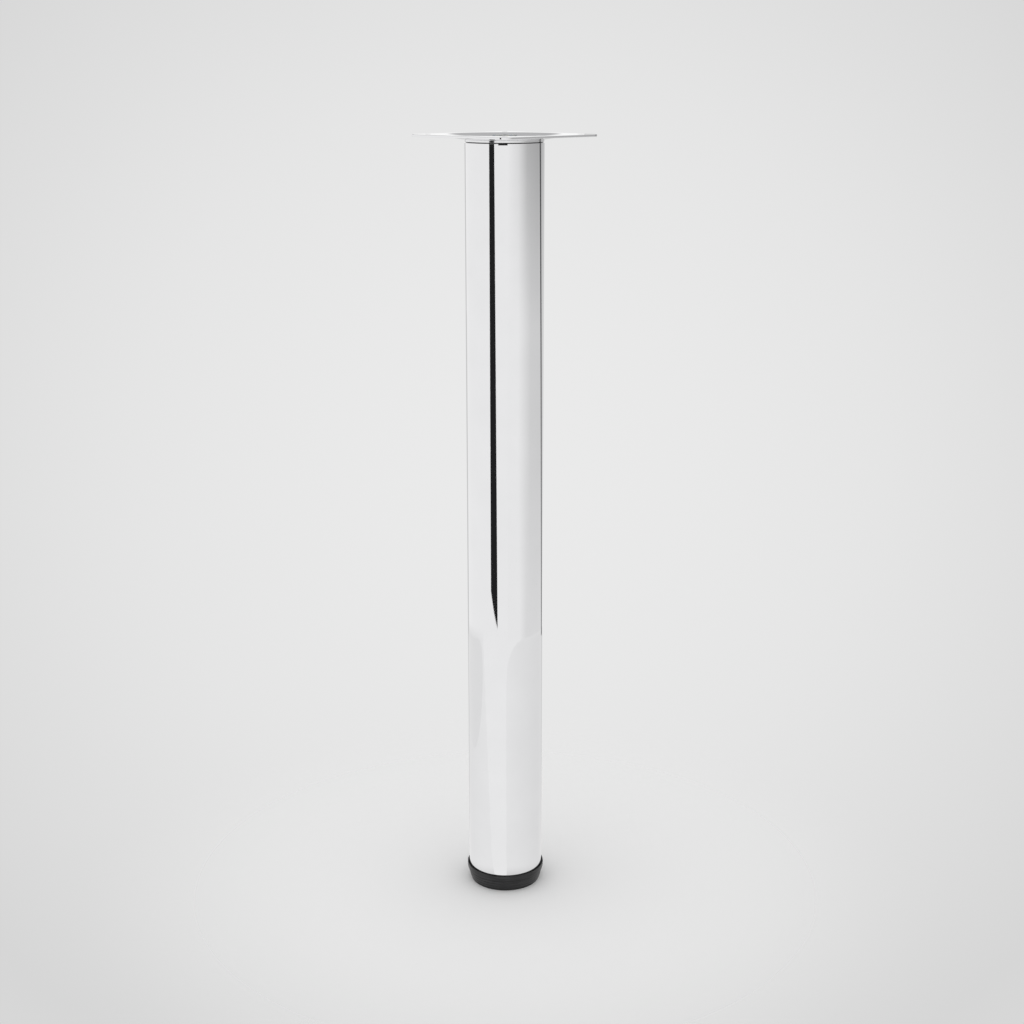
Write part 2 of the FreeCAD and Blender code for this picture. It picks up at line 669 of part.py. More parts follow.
os.makedirs("parts", exist_ok=True)
for piece in pieces:
    piece.Shape.exportStep(f"parts/{piece.Label}.step")
    box = piece.Shape.BoundBox
    print(f"{piece.Label}: {piece.Shape.Volume:.0f} mm3, z {box.ZMin:.2f} to {box.ZMax:.2f}")
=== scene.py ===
import math

import bmesh
import bpy
from mathutils import Matrix, Vector


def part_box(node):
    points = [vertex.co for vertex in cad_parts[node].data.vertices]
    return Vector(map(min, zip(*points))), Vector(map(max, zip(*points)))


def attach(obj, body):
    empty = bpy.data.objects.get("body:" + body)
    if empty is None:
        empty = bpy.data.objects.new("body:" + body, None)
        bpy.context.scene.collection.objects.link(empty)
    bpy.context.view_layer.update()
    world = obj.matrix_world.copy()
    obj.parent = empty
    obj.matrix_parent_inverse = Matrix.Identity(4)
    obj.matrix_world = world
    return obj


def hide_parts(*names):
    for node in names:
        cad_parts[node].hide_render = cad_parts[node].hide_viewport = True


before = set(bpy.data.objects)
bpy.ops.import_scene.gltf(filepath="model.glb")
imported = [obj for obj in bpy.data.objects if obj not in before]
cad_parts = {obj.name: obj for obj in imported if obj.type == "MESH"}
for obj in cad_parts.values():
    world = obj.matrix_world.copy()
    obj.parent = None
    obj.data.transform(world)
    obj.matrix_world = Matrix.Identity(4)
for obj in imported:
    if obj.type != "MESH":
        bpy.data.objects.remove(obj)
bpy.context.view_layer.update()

# Looks of a height adjustable table leg: chromed tube, pressed mounting plate and black screw foot.
# Sizes are in millimetres and become metres where a mesh is made.

MM = 0.001


def node_box(name):
    """Lowest and highest corner of a CAD node, in millimetres."""
    low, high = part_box(name)
    return low / MM, high / MM


# Sizes read from the frame
plate_low, plate_high = node_box("mounting_plate")
bolt_low, bolt_high = node_box("plate_bolt")
casting_low, casting_high = node_box("top_plug")
tube_low, tube_high = node_box("leg_tube")
spindle_low, spindle_high = node_box("foot_spindle")
foot_low, foot_high = node_box("foot")
glide_high = node_box("floor_glide")[1]
tube_radius = tube_high.x
flange_low = tube_high.z

# Roundings that several pieces share
CRISP_EDGE = 0.1
FINE_EDGE = 0.2
EASED_EDGE = 0.3
SOFT_EDGE = 0.4

# Tube, with a short notch in its upper end
TUBE_WALL = 1.2
NOTCH_WIDTH = 8.0
NOTCH_DEPTH = 1.3
NOTCH_ASIDE = -1.4
NOTCH_BAND = 3.0

# Casting that plugs the tube's upper end
PRESS_CLEARANCE = 0.1
SPIGOT_WALL = 3.0
SPIGOT_WEB = 3.0
SPIGOT_LEAD = 0.8
SPIGOT_EDGE = 0.5
JOINT_GROOVE = 0.8
GROOVE_MARGIN = 0.05
FLANGE_EDGE = 0.8
BOLT_BOSS_RADIUS = 10.0
BOLT_BOSS_EDGE = 0.6
CASTING_FILLET = 1.0
CASTING_RIB = 2.5
CASTING_RIBS = 6

# Mounting plate
SHEET = 2.0
SHEET_EDGE = 0.45
PLATE_CORNER = 10.0
DISH_FLOOR_RADIUS = tube_radius + 3.0
DISH_MOUTH_RADIUS = 52.0
DISH_BEND = 6.0
SCREW_INSET = 13.0
SCREW_HOLE_RADIUS = 2.75
SCREW_HEAD_RADIUS = 4.15

# Bolt and spindle
BOLT_RADIUS = 5.0
BOLT_PITCH = 1.5
BOLT_TIP = 1.0
BOLT_CLEARANCE = 0.3
BOLT_CROWN_INSET = 1.2
BOLT_CROWN_DROP = 0.6
BOLT_CROWN_ROUND = 2.0
SOCKET_FLATS = 6.0
SOCKET_DEPTH = 4.0
SHANK_SINK = 0.5
SPINDLE_RADIUS = 6.0
SPINDLE_PITCH = 1.75
SPINDLE_TIP = 1.2
SPINDLE_HEAD_FLATS = 18.0
SPINDLE_HEAD_HEIGHT = 7.5
HEAD_BEVEL = math.radians(30)

# Thread form, as shares of the pitch
THREAD_DEPTH = 0.6
THREAD_CREST = 0.125
THREAD_FLANK = 0.3125
THREAD_ROOT = 0.25
SPARE_TURNS_BELOW = 2
SPARE_TURNS = 3

# Foot
SEAT_DEPTH = 1.5
SEAT_CLEARANCE = 0.4
SEAT_LEAD = 0.8
FOOT_WEB = 3.0
FOOT_WEB_FILLET = 0.8
FOOT_RIM_HEIGHT = 3.8
FOOT_RIM_EDGE = 1.5
FOOT_BASE_EDGE = 0.35
FOOT_TAPER = 2.95
SKIRT_WALL = 2.6
SPINDLE_HOLE_RADIUS = SPINDLE_RADIUS + 0.1
HEAD_POCKET_FLATS = SPINDLE_HEAD_FLATS + 0.2
HEAD_POCKET_WALL = 3.5
FOOT_BOSS_LIFT = 0.6
FOOT_BOSS_FILLET = 0.6
FOOT_RIB = 2.0
FOOT_RIBS = 8
FOOT_RIB_INSET = 0.2
GRIP_RINGS = 3
GRIP_START = 2.0
GRIP_DEPTH = 0.45
GRIP_HALF_WIDTH = 0.55
GRIP_LIP = 0.15

# Snap joint between foot and glide
SNAP_LIP = 1.8
SNAP_CLEARANCE = 0.3
SNAP_BEAD = 0.6
SNAP_WALL = 1.4
SNAP_SLOT = 3.0
SNAP_SLOTS = 6
SNAP_SLOT_LIFT = 0.1
GLIDE_RIM_HEIGHT = foot_low.z
GLIDE_LAND = 7.0
GLIDE_HOLLOW = 0.8
PIVOT_RADIUS = 7.5

# Fineness of the meshes
TURNED_SEGMENTS = 192
TUBE_SEGMENTS = 288
THREAD_SEGMENTS = 48
ROUND_STEPS = 5
PLATE_SIDE_STEPS = 36
PLATE_CORNER_STEPS = 14
SMOOTH_ANGLE = math.radians(32)
CUTTER_OVERSHOOT = 1.0
TINY = 1e-6


# Colours and nodes
def linear(hex_colour):
    """Linear RGBA of an sRGB hex value."""
    channels = [int(hex_colour[start:start + 2], 16) / 255 for start in (1, 3, 5)]
    return (*[c / 12.92 if c <= 0.04045 else ((c + 0.055) / 1.055) ** 2.4 for c in channels], 1.0)


def add(tree, kind, inputs=None, stops=(), **settings):
    """Adds a node with its settings, fills its sockets with values or links, and sets a ramp's stops."""
    node = tree.nodes.new(kind)
    for name, setting in settings.items():
        setattr(node, name, setting)
    for socket, source in (inputs or {}).items():
        if isinstance(source, bpy.types.NodeSocket):
            tree.links.new(source, node.inputs[socket])
        else:
            node.inputs[socket].default_value = source
    if stops:
        elements = node.color_ramp.elements
        while len(elements) < len(stops):
            elements.new(0.5)
        for element, (position, shade) in zip(elements, stops):
            element.position = position
            element.color = linear(shade)
    return node


def new_tree(name):
    """A new material and its emptied node tree."""
    material = bpy.data.materials.new(name)
    material.use_nodes = True
    material.node_tree.nodes.clear()
    return material, material.node_tree


def per_metre(millimetres):
    """Texture scale that makes one feature of a pattern that many millimetres wide."""
    return 1 / (millimetres * MM)


# Widths of the finishes' patterns, and how far some are squeezed so that they run out into lines. The hoops,
# rolled lines, zinc grit and mould grain are finer on a real leg and are drawn this coarse so that they show.
TUBE_SWAY = 90.0
TUBE_HOOP = 1.2
HOOP_SQUEEZE = 0.02
TUBE_HAZE = 35.0
SHEET_PEEL = 4.0
ROLLED_LINE = 0.9
ROLLED_SQUEEZE = 0.03
SHEET_HAZE = 22.0
CASTING_RIPPLE = 6.0
ZINC_CLOUD = 5.0
ZINC_GRIT = 0.35
MOULD_FLOW = 14.0
MOULD_RING = 1.3
RING_SQUEEZE = 0.06

# Levels of the pattern where the plastic is plain black and where its dust and painted sheen are fullest
DUST_AND_SHEEN_OFFSET = 0.5
DUST_AND_SHEEN_START = 0.62
DUST_AND_SHEEN_END = 0.88


# Bright chrome over polished nickel on steel tube: a cool mirror. Grinding before the plating leaves faint
# hoops round the tube, the steel is never quite straight, and handling leaves a thin uneven haze.
def chrome_on_steel_tube():
    material, tree = new_tree("chrome_on_polished_steel_tube")
    place = add(tree, "ShaderNodeTexCoord").outputs["Object"]
    sway = add(tree, "ShaderNodeTexNoise", {"Vector": place, "Scale": per_metre(TUBE_SWAY), "Detail": 1.0})
    squeezed = add(tree, "ShaderNodeMapping", {
        "Vector": place, "Scale": (HOOP_SQUEEZE, HOOP_SQUEEZE, 1.0),
    })
    hoops = add(tree, "ShaderNodeTexNoise", {
        "Vector": squeezed.outputs["Vector"], "Scale": per_metre(TUBE_HOOP), "Detail": 3.0,
    })
    haze = add(tree, "ShaderNodeTexNoise", {"Vector": place, "Scale": per_metre(TUBE_HAZE), "Detail": 5.0})
    roughness = add(tree, "ShaderNodeMapRange", {
        "Value": haze.outputs["Fac"], "From Min": 0.3, "From Max": 0.75, "To Min": 0.02, "To Max": 0.055,
    })
    swayed = add(tree, "ShaderNodeBump", {
        "Height": sway.outputs["Fac"], "Strength": 0.2, "Distance": 0.1 * MM,
    })
    hooped = add(tree, "ShaderNodeBump", {
        "Height": hoops.outputs["Fac"], "Normal": swayed.outputs["Normal"], "Strength": 0.05,
        "Distance": 0.002 * MM,
    })
    tint = add(tree, "ShaderNodeValToRGB", {"Fac": haze.outputs["Fac"]}, [(0, "#E6E6E7"), (1, "#EDEDEE")])
    shader = add(tree, "ShaderNodeBsdfPrincipled", {
        "Base Color": tint.outputs["Color"], "Metallic": 1.0, "Roughness": roughness.outputs["Result"],
        "Normal": hooped.outputs["Normal"],
    })
    add(tree, "ShaderNodeOutputMaterial", {"Surface": shader.outputs["BSDF"]})
    return material


# Chrome straight on pressed sheet, which isn't ground first: the mirror has a fine orange peel and the
# rolled sheet's faint lines in one direction, so reflections are softer than on the tube.
def chrome_on_pressed_sheet():
    material, tree = new_tree("chrome_on_pressed_steel_sheet")
    place = add(tree, "ShaderNodeTexCoord").outputs["Object"]
    peel = add(tree, "ShaderNodeTexNoise", {"Vector": place, "Scale": per_metre(SHEET_PEEL), "Detail": 2.0})
    squeezed = add(tree, "ShaderNodeMapping", {"Vector": place, "Scale": (1.0, ROLLED_SQUEEZE, 1.0)})
    rolled = add(tree, "ShaderNodeTexNoise", {
        "Vector": squeezed.outputs["Vector"], "Scale": per_metre(ROLLED_LINE), "Detail": 4.0,
    })
    haze = add(tree, "ShaderNodeTexNoise", {"Vector": place, "Scale": per_metre(SHEET_HAZE), "Detail": 5.0})
    roughness = add(tree, "ShaderNodeMapRange", {
        "Value": haze.outputs["Fac"], "From Min": 0.3, "From Max": 0.75, "To Min": 0.025, "To Max": 0.06,
    })
    peeled = add(tree, "ShaderNodeBump", {
        "Height": peel.outputs["Fac"], "Strength": 0.3, "Distance": 0.02 * MM,
    })
    lined = add(tree, "ShaderNodeBump", {
        "Height": rolled.outputs["Fac"], "Normal": peeled.outputs["Normal"], "Strength": 0.25,
        "Distance": 0.006 * MM,
    })
    tint = add(tree, "ShaderNodeValToRGB", {"Fac": haze.outputs["Fac"]}, [(0, "#E4E4E5"), (1, "#EEEEEF")])
    shader = add(tree, "ShaderNodeBsdfPrincipled", {
        "Base Color": tint.outputs["Color"], "Metallic": 1.0, "Roughness": roughness.outputs["Result"],
        "Normal": lined.outputs["Normal"],
    })
    add(tree, "ShaderNodeOutputMaterial", {"Surface": shader.outputs["BSDF"]})
    return material


# Chrome on a zinc die casting: bright, with the soft ripple that a cast skin keeps under the plating.
# The groove under the flange and the spigot are painted dark: painted shade for the joint's shadow line.
def chrome_on_die_casting():
    material, tree = new_tree("chrome_on_zinc_die_casting")
    place = add(tree, "ShaderNodeTexCoord").outputs["Object"]
    ripple = add(tree, "ShaderNodeTexNoise", {
        "Vector": place, "Scale": per_metre(CASTING_RIPPLE), "Detail": 3.0,
    })
    roughness = add(tree, "ShaderNodeMapRange", {
        "Value": ripple.outputs["Fac"], "From Min": 0.3, "From Max": 0.7, "To Min": 0.05, "To Max": 0.12,
    })
    rippled = add(tree, "ShaderNodeBump", {
        "Height": ripple.outputs["Fac"], "Strength": 0.3, "Distance": 0.03 * MM,
    })
    tint = add(tree, "ShaderNodeValToRGB", {"Fac": ripple.outputs["Fac"]}, [(0, "#DEDEDF"), (1, "#EAEAEB")])
    height = add(tree, "ShaderNodeSeparateXYZ", {"Vector": place}).outputs["Z"]
    # Painted shade: below the groove's top the casting's colour turns dark grey
    in_groove = add(tree, "ShaderNodeMath", {
        0: height, 1: (flange_low + JOINT_GROOVE - GROOVE_MARGIN) * MM,
    }, operation="LESS_THAN")
    groove_painted_shade = add(tree, "ShaderNodeMixRGB", {
        "Fac": in_groove.outputs["Value"], "Color1": tint.outputs["Color"], "Color2": linear("#2A2A2B"),
    })
    shader = add(tree, "ShaderNodeBsdfPrincipled", {
        "Base Color": groove_painted_shade.outputs["Color"], "Metallic": 1.0, "Roughness": roughness.outputs["Result"],
        "Normal": rippled.outputs["Normal"],
    })
    add(tree, "ShaderNodeOutputMaterial", {"Surface": shader.outputs["BSDF"]})
    return material


# Bright zinc plating with blue passivation on cold formed steel: satin grey with cloudy patches that lean
# to blue and straw, and fine forming marks.
def bright_zinc_on_steel():
    material, tree = new_tree("bright_zinc_plated_steel")
    place = add(tree, "ShaderNodeTexCoord").outputs["Object"]
    clouds = add(tree, "ShaderNodeTexNoise", {"Vector": place, "Scale": per_metre(ZINC_CLOUD), "Detail": 4.0})
    grit = add(tree, "ShaderNodeTexNoise", {"Vector": place, "Scale": per_metre(ZINC_GRIT), "Detail": 3.0})
    tint = add(tree, "ShaderNodeValToRGB", {
        "Fac": clouds.outputs["Fac"],
    }, [(0.32, "#A9B1BB"), (0.7, "#C9C6BC")])
    roughness = add(tree, "ShaderNodeMapRange", {
        "Value": clouds.outputs["Fac"], "From Min": 0.3, "From Max": 0.7, "To Min": 0.22, "To Max": 0.38,
    })
    gritty = add(tree, "ShaderNodeBump", {
        "Height": grit.outputs["Fac"], "Strength": 0.35, "Distance": 0.02 * MM,
    })
    shader = add(tree, "ShaderNodeBsdfPrincipled", {
        "Base Color": tint.outputs["Color"], "Metallic": 1.0, "Roughness": roughness.outputs["Result"],
        "Normal": gritty.outputs["Normal"],
    })
    add(tree, "ShaderNodeOutputMaterial", {"Surface": shader.outputs["BSDF"]})
    return material


# Injection moulded black plastic: the mould was turned and then spark eroded, so fine rings and a leathery
# grain show in the sheen. Along the rings the black turns a lighter, rougher grey, partly from dust and
# partly as painted sheen for the rings' streaks of highlight.
def moulded_black(name, plain_black, dust_and_sheen_grey, grain, low_roughness, high_roughness, index):
    material, tree = new_tree(name)
    place = add(tree, "ShaderNodeTexCoord").outputs["Object"]
    pits = add(tree, "ShaderNodeTexVoronoi", {
        "Vector": place, "Scale": per_metre(grain),
    }, feature="SMOOTH_F1")
    flow = add(tree, "ShaderNodeTexNoise", {"Vector": place, "Scale": per_metre(MOULD_FLOW), "Detail": 5.0})
    squeezed = add(tree, "ShaderNodeMapping", {
        "Vector": place, "Scale": (RING_SQUEEZE, RING_SQUEEZE, 1.0),
    })
    rings = add(tree, "ShaderNodeTexNoise", {
        "Vector": squeezed.outputs["Vector"], "Scale": per_metre(MOULD_RING), "Detail": 2.0,
    })
    # Dust and painted sheen: where the flow and ring patterns meet, the black turns lighter and rougher
    dust_and_sheen = add(tree, "ShaderNodeMath", {
        0: flow.outputs["Fac"], 1: rings.outputs["Fac"], 2: DUST_AND_SHEEN_OFFSET,
    }, operation="MULTIPLY_ADD")
    tint = add(tree, "ShaderNodeValToRGB", {
        "Fac": dust_and_sheen.outputs["Value"],
    }, [(DUST_AND_SHEEN_START, plain_black), (DUST_AND_SHEEN_END, dust_and_sheen_grey)])
    roughness = add(tree, "ShaderNodeMapRange", {
        "Value": dust_and_sheen.outputs["Value"], "From Min": DUST_AND_SHEEN_START, "From Max": DUST_AND_SHEEN_END,
        "To Min": low_roughness, "To Max": high_roughness,
    })
    ringed = add(tree, "ShaderNodeBump", {
        "Height": rings.outputs["Fac"], "Strength": 0.4, "Distance": 0.08 * MM,
    })
    grained = add(tree, "ShaderNodeBump", {
        "Height": pits.outputs["Distance"], "Normal": ringed.outputs["Normal"], "Strength": 0.4,
        "Distance": 0.05 * MM,
    })
    shader = add(tree, "ShaderNodeBsdfPrincipled", {
        "Base Color": tint.outputs["Color"], "Roughness": roughness.outputs["Result"],
        "Normal": grained.outputs["Normal"], "IOR": index,
    })
    add(tree, "ShaderNodeOutputMaterial", {"Surface": shader.outputs["BSDF"]})
    return material


# Meshes
def rounded(corners):
    """Points along a closed outline whose corners give radius, height and, where one is, a rounding."""
    points = []
    for number, corner in enumerate(corners):
        here = Vector(corner[:2])
        if len(corner) == 2:
            points.append(here)
            continue
        rounding = corner[2]
        back = Vector(corners[number - 1][:2]) - here
        ahead = Vector(corners[(number + 1) % len(corners)][:2]) - here
        back.normalize()
        ahead.normalize()
        half_opening = back.angle(ahead) / 2
        trim = rounding / math.tan(half_opening)
        start = here + back * trim
        inward = (back + ahead).normalized()
        centre = here + inward * (rounding / math.sin(half_opening))
        sweep = (start - centre).angle_signed(here + ahead * trim - centre)
        for step in range(ROUND_STEPS + 1):
            turn = Matrix.Rotation(-sweep * step / ROUND_STEPS, 2)
            points.append(centre + turn @ (start - centre))
    return points


def new_object(name, data):
    """An object in the scene for a mesh, a camera or a lamp."""
    made = bpy.data.objects.new(name, data)
    bpy.context.scene.collection.objects.link(made)
    return made


def object_from(name, bm):
    """An object from an edited mesh, with its faces turned outwards."""
    bmesh.ops.recalc_face_normals(bm, faces=bm.faces)
    mesh = bpy.data.meshes.new(name)
    bm.to_mesh(mesh)
    bm.free()
    return new_object(name, mesh)


def skin(bm, rings, closed_loop=True):
    """Faces between rings of vertices. A ring of one vertex is a point on the axis."""
    pairs = list(zip(rings, rings[1:]))
    if closed_loop:
        pairs.append((rings[-1], rings[0]))
    for first, second in pairs:
        for number in range(max(len(first), len(second))):
            corners = []
            for ring, place in ((first, number), (first, number + 1), (second, number + 1), (second, number)):
                corner = ring[place % len(ring)]
                if corner not in corners:
                    corners.append(corner)
            if len(corners) > 2:
                bm.faces.new(corners)


def turned(name, corners, segments=TURNED_SEGMENTS):
    """A solid turned round the Z axis from a closed outline of radius and height."""
    bm = bmesh.new()
    rings = []
    for point in rounded(corners):
        radius, height = point * MM
        ring = []
        for number in range(segments if radius > TINY else 1):
            angle = 2 * math.pi * number / segments
            ring.append(bm.verts.new((radius * math.cos(angle), radius * math.sin(angle), height)))
        rings.append(ring)
    skin(bm, rings)
    return object_from(name, bm)


def prism(name, outline, low, high):
    """An upright prism from points in plan."""
    bm = bmesh.new()
    rings = [[bm.verts.new((x * MM, y * MM, z * MM)) for x, y in outline] for z in (low, high)]
    skin(bm, rings, closed_loop=False)
    for ring in rings:
        bm.faces.new(ring)
    return object_from(name, bm)


def hexagon(flats):
    """Corners in plan of a hexagon of that width across flats."""
    reach = flats / math.sqrt(3)
    return [(reach * math.cos(k * math.pi / 3), reach * math.sin(k * math.pi / 3)) for k in range(6)]


def spokes(name, count, inner, outer, width, low, high):
    """Like bars set round the Z axis, in one mesh."""
    bm = bmesh.new()
    middle = Matrix.Translation(Vector(((inner + outer) / 2, 0, (low + high) / 2)) * MM)
    size = Matrix.Diagonal(Vector((outer - inner, width, high - low)) * MM).to_4x4()
    for number in range(count):
        turn = Matrix.Rotation(2 * math.pi * number / count, 4, "Z")
        bmesh.ops.create_cube(bm, size=1.0, matrix=turn @ middle @ size)
    return object_from(name, bm)


def combine(piece, tool, operation):
    """Joins a tool to a piece or cuts it away, and removes the tool."""
    modifier = piece.modifiers.new("combine", "BOOLEAN")
    modifier.operation = operation
    modifier.object = tool
    modifier.solver = "EXACT"
    graph = bpy.context.evaluated_depsgraph_get()
    mesh = bpy.data.meshes.new_from_object(piece.evaluated_get(graph))
    piece.modifiers.clear()
    piece.data = mesh
    bpy.data.objects.remove(tool)


def thread(name, radius, pitch, low, high, tip_low=0.0, tip_high=0.0):
    """A right-handed screw thread with flat crests and roots, cut square and chamfered at its ends."""
    root = radius - THREAD_DEPTH * pitch
    root_start = THREAD_CREST + THREAD_FLANK
    root_end = root_start + THREAD_ROOT
    rows_of_pitch = [(0.0, radius), (THREAD_CREST, radius), (root_start, root), (root_end, root)]
    turns = math.ceil((high - low) / pitch) + SPARE_TURNS
    bm = bmesh.new()
    rows = []
    for turn in range(turns):
        for share, reach in rows_of_pitch:
            row = []
            for number in range(THREAD_SEGMENTS):
                height = low + (turn - SPARE_TURNS_BELOW + share + number / THREAD_SEGMENTS) * pitch
                from_low = max(height - low, 0.0)
                from_high = max(high - height, 0.0)
                limit = radius - max(tip_low - from_low, tip_high - from_high, 0.0)
                angle = 2 * math.pi * number / THREAD_SEGMENTS
                across = min(reach, limit)
                spot = Vector((across * math.cos(angle), across * math.sin(angle), height))
                row.append(bm.verts.new(spot * MM))
            rows.append(row)
    lead = len(rows_of_pitch)
    for number in range(len(rows) - lead - 1):
        here = rows[number]
        above = rows[number + 1]
        for place in range(THREAD_SEGMENTS - 1):
            bm.faces.new((here[place], here[place + 1], above[place + 1], above[place]))
        bm.faces.new((here[-1], rows[number + lead][0], rows[number + lead + 1][0], above[-1]))
    for height, outward in ((low, -1), (high, 1)):
        level = height * MM
        bmesh.ops.bisect_plane(
            bm, geom=bm.verts[:] + bm.edges[:] + bm.faces[:], dist=TINY, plane_co=(0, 0, level),
            plane_no=(0, 0, outward), clear_outer=True)
        rim = [edge for edge in bm.edges if edge.is_boundary and
               all(abs(vert.co.z - level) < 2 * TINY for vert in edge.verts)]
        bmesh.ops.edgeloop_fill(bm, edges=rim)
    return object_from(name, bm)


def dress(piece, material, body, slot, *nodes):
    """Gives a piece its finish and smooth shading, hangs it on its body and hides the nodes it replaces."""
    piece.data.materials.clear()
    piece.data.materials.append(material)
    piece.data.polygons.foreach_set("use_smooth", [True] * len(piece.data.polygons))
    piece.data.set_sharp_from_angle(angle=SMOOTH_ANGLE)
    weighted = piece.modifiers.new("weighted_normals", "WEIGHTED_NORMAL")
    weighted.keep_sharp = True
    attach(piece, body)
    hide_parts(*nodes)


# Pieces
def chromed_tube():
    """Tube with eased edges and a short notch in its upper end, below a corner of the plate."""
    bore = tube_radius - TUBE_WALL
    band_low = tube_high.z - NOTCH_BAND
    piece = turned("chromed_tube", [
        (tube_radius, tube_low.z, EASED_EDGE), (tube_radius, band_low),
        (tube_radius, tube_high.z, EASED_EDGE), (bore, tube_high.z, EASED_EDGE), (bore, band_low),
        (bore, tube_low.z, EASED_EDGE),
    ], TUBE_SEGMENTS)
    outward = Vector((1, -1)).normalized()
    sideways = Vector((1, 1)).normalized()
    left = sideways * (NOTCH_ASIDE - NOTCH_WIDTH / 2)
    right = sideways * (NOTCH_ASIDE + NOTCH_WIDTH / 2)
    inner = outward * (bore - CUTTER_OVERSHOOT)
    outer = outward * (tube_radius + CUTTER_OVERSHOOT)
    notch = prism("notch", [inner + left, outer + left, outer + right, inner + right],
                  tube_high.z - NOTCH_DEPTH, tube_high.z + CUTTER_OVERSHOOT)
    combine(piece, notch, "DIFFERENCE")
    return piece


def top_casting():
    """Flange on the tube's end, hollow spigot in its bore, boss for the bolt and ribs between."""
    low = casting_low.z
    top = casting_high.z
    spigot = tube_radius - TUBE_WALL - PRESS_CLEARANCE
    hollow = spigot - SPIGOT_WALL
    flange = casting_high.x
    groove = flange - JOINT_GROOVE
    groove_top = flange_low + JOINT_GROOVE
    bolt_bore = BOLT_RADIUS + PRESS_CLEARANCE / 2
    web = flange_low - SPIGOT_WEB
    piece = turned("top_casting", [
        (bolt_bore, low, EASED_EDGE), (BOLT_BOSS_RADIUS, low, BOLT_BOSS_EDGE),
        (BOLT_BOSS_RADIUS, web, CASTING_FILLET), (hollow, web, CASTING_FILLET), (hollow, low, SPIGOT_EDGE),
        (spigot, low, SPIGOT_LEAD), (spigot, flange_low), (groove, flange_low), (groove, groove_top),
        (flange, groove_top, FINE_EDGE), (flange, top, FLANGE_EDGE), (bolt_bore, top, EASED_EDGE),
    ])
    half_wall = SPIGOT_WALL / 2
    ribs = spokes("ribs", CASTING_RIBS, BOLT_BOSS_RADIUS - half_wall, hollow + half_wall, CASTING_RIB,
                  low + SPIGOT_LEAD, web + half_wall)
    combine(piece, ribs, "UNION")
    return piece


def outline_reach(angle, half, corner):
    """Distance from the middle to a square with rounded corners, along an angle."""
    quarter = math.pi / 2
    from_side = abs((angle + quarter / 2) % quarter - quarter / 2)
    if from_side <= math.atan2(half - corner, half):
        return half / math.cos(from_side)
    to_centre = (half - corner) * math.sqrt(2)
    off_diagonal = quarter / 2 - from_side
    aside = to_centre * math.sin(off_diagonal)
    return to_centre * math.cos(off_diagonal) + math.sqrt(corner ** 2 - aside ** 2)


def plate_angles(half, corner):
    """Angles round the plate that are close together on its corners."""
    angles = []
    side_end = math.atan2(half - corner, half)
    for quarter in range(4):
        turn = quarter * math.pi / 2
        for step in range(PLATE_SIDE_STEPS):
            angles.append(turn - side_end + 2 * side_end * step / PLATE_SIDE_STEPS)
        for step in range(PLATE_CORNER_STEPS):
            bend = math.pi / 2 * step / PLATE_CORNER_STEPS
            across = half - corner + corner * math.cos(bend)
            along = half - corner + corner * math.sin(bend)
            angles.append(turn + math.atan2(along, across))
    return angles


def pressed_plate():
    """Square sheet with a round dish pressed into it, rolled edges and four countersunk screw holes."""
    half = plate_high.x
    top = plate_high.z
    bolt_hole = BOLT_RADIUS + BOLT_CLEARANCE
    dish_top = plate_low.z + SHEET
    rim_low = top - SHEET
    land = DISH_MOUTH_RADIUS + DISH_BEND / 2
    upper = rounded([
        (bolt_hole, dish_top), (DISH_FLOOR_RADIUS, dish_top, DISH_BEND),
        (DISH_MOUTH_RADIUS, top, DISH_BEND + SHEET), (land, top),
    ])
    lower = rounded([
        (bolt_hole, plate_low.z), (DISH_FLOOR_RADIUS, plate_low.z, DISH_BEND + SHEET),
        (DISH_MOUTH_RADIUS, rim_low, DISH_BEND), (land, rim_low),
    ])
    edge = []
    for step in range(ROUND_STEPS + 1):
        bend = math.pi / 2 * step / ROUND_STEPS
        edge.append((SHEET_EDGE * (1 - math.sin(bend)), SHEET_EDGE * (1 - math.cos(bend))))
    bm = bmesh.new()
    angles = plate_angles(half, PLATE_CORNER)

    def ring(height, reach_at):
        spots = [(reach_at(angle) * math.cos(angle), reach_at(angle) * math.sin(angle)) for angle in angles]
        return [bm.verts.new((x * MM, y * MM, height * MM)) for x, y in spots]

    def edge_ring(inset, height):
        return ring(height, lambda angle: outline_reach(angle, half - inset, PLATE_CORNER - inset))

    def middle_ring(height):
        return ring(height, lambda angle: (land + outline_reach(angle, half, PLATE_CORNER)) / 2)

    rings = [ring(point.y, lambda angle, reach=point.x: reach) for point in upper]
    rings.append(middle_ring(top))
    rings += [edge_ring(inset, top - drop) for inset, drop in edge]
    rings += [edge_ring(inset, rim_low + drop) for inset, drop in reversed(edge)]
    rings.append(middle_ring(rim_low))
    rings += [ring(point.y, lambda angle, reach=point.x: reach) for point in reversed(lower)]
    skin(bm, rings)
    piece = object_from("pressed_plate", bm)

    spot = half - SCREW_INSET
    cutter_low = rim_low - CUTTER_OVERSHOOT
    cutter_top = top + CUTTER_OVERSHOOT
    for across in (-spot, spot):
        for along in (-spot, spot):
            hole = turned("screw_hole", [
                (0, cutter_low), (SCREW_HEAD_RADIUS + CUTTER_OVERSHOOT, cutter_low),
                (SCREW_HOLE_RADIUS, rim_low + SCREW_HEAD_RADIUS - SCREW_HOLE_RADIUS),
                (SCREW_HOLE_RADIUS, cutter_top), (0, cutter_top),
            ], THREAD_SEGMENTS)
            hole.data.transform(Matrix.Translation(Vector((across, along, 0)) * MM))
            combine(piece, hole, "DIFFERENCE")
    return piece


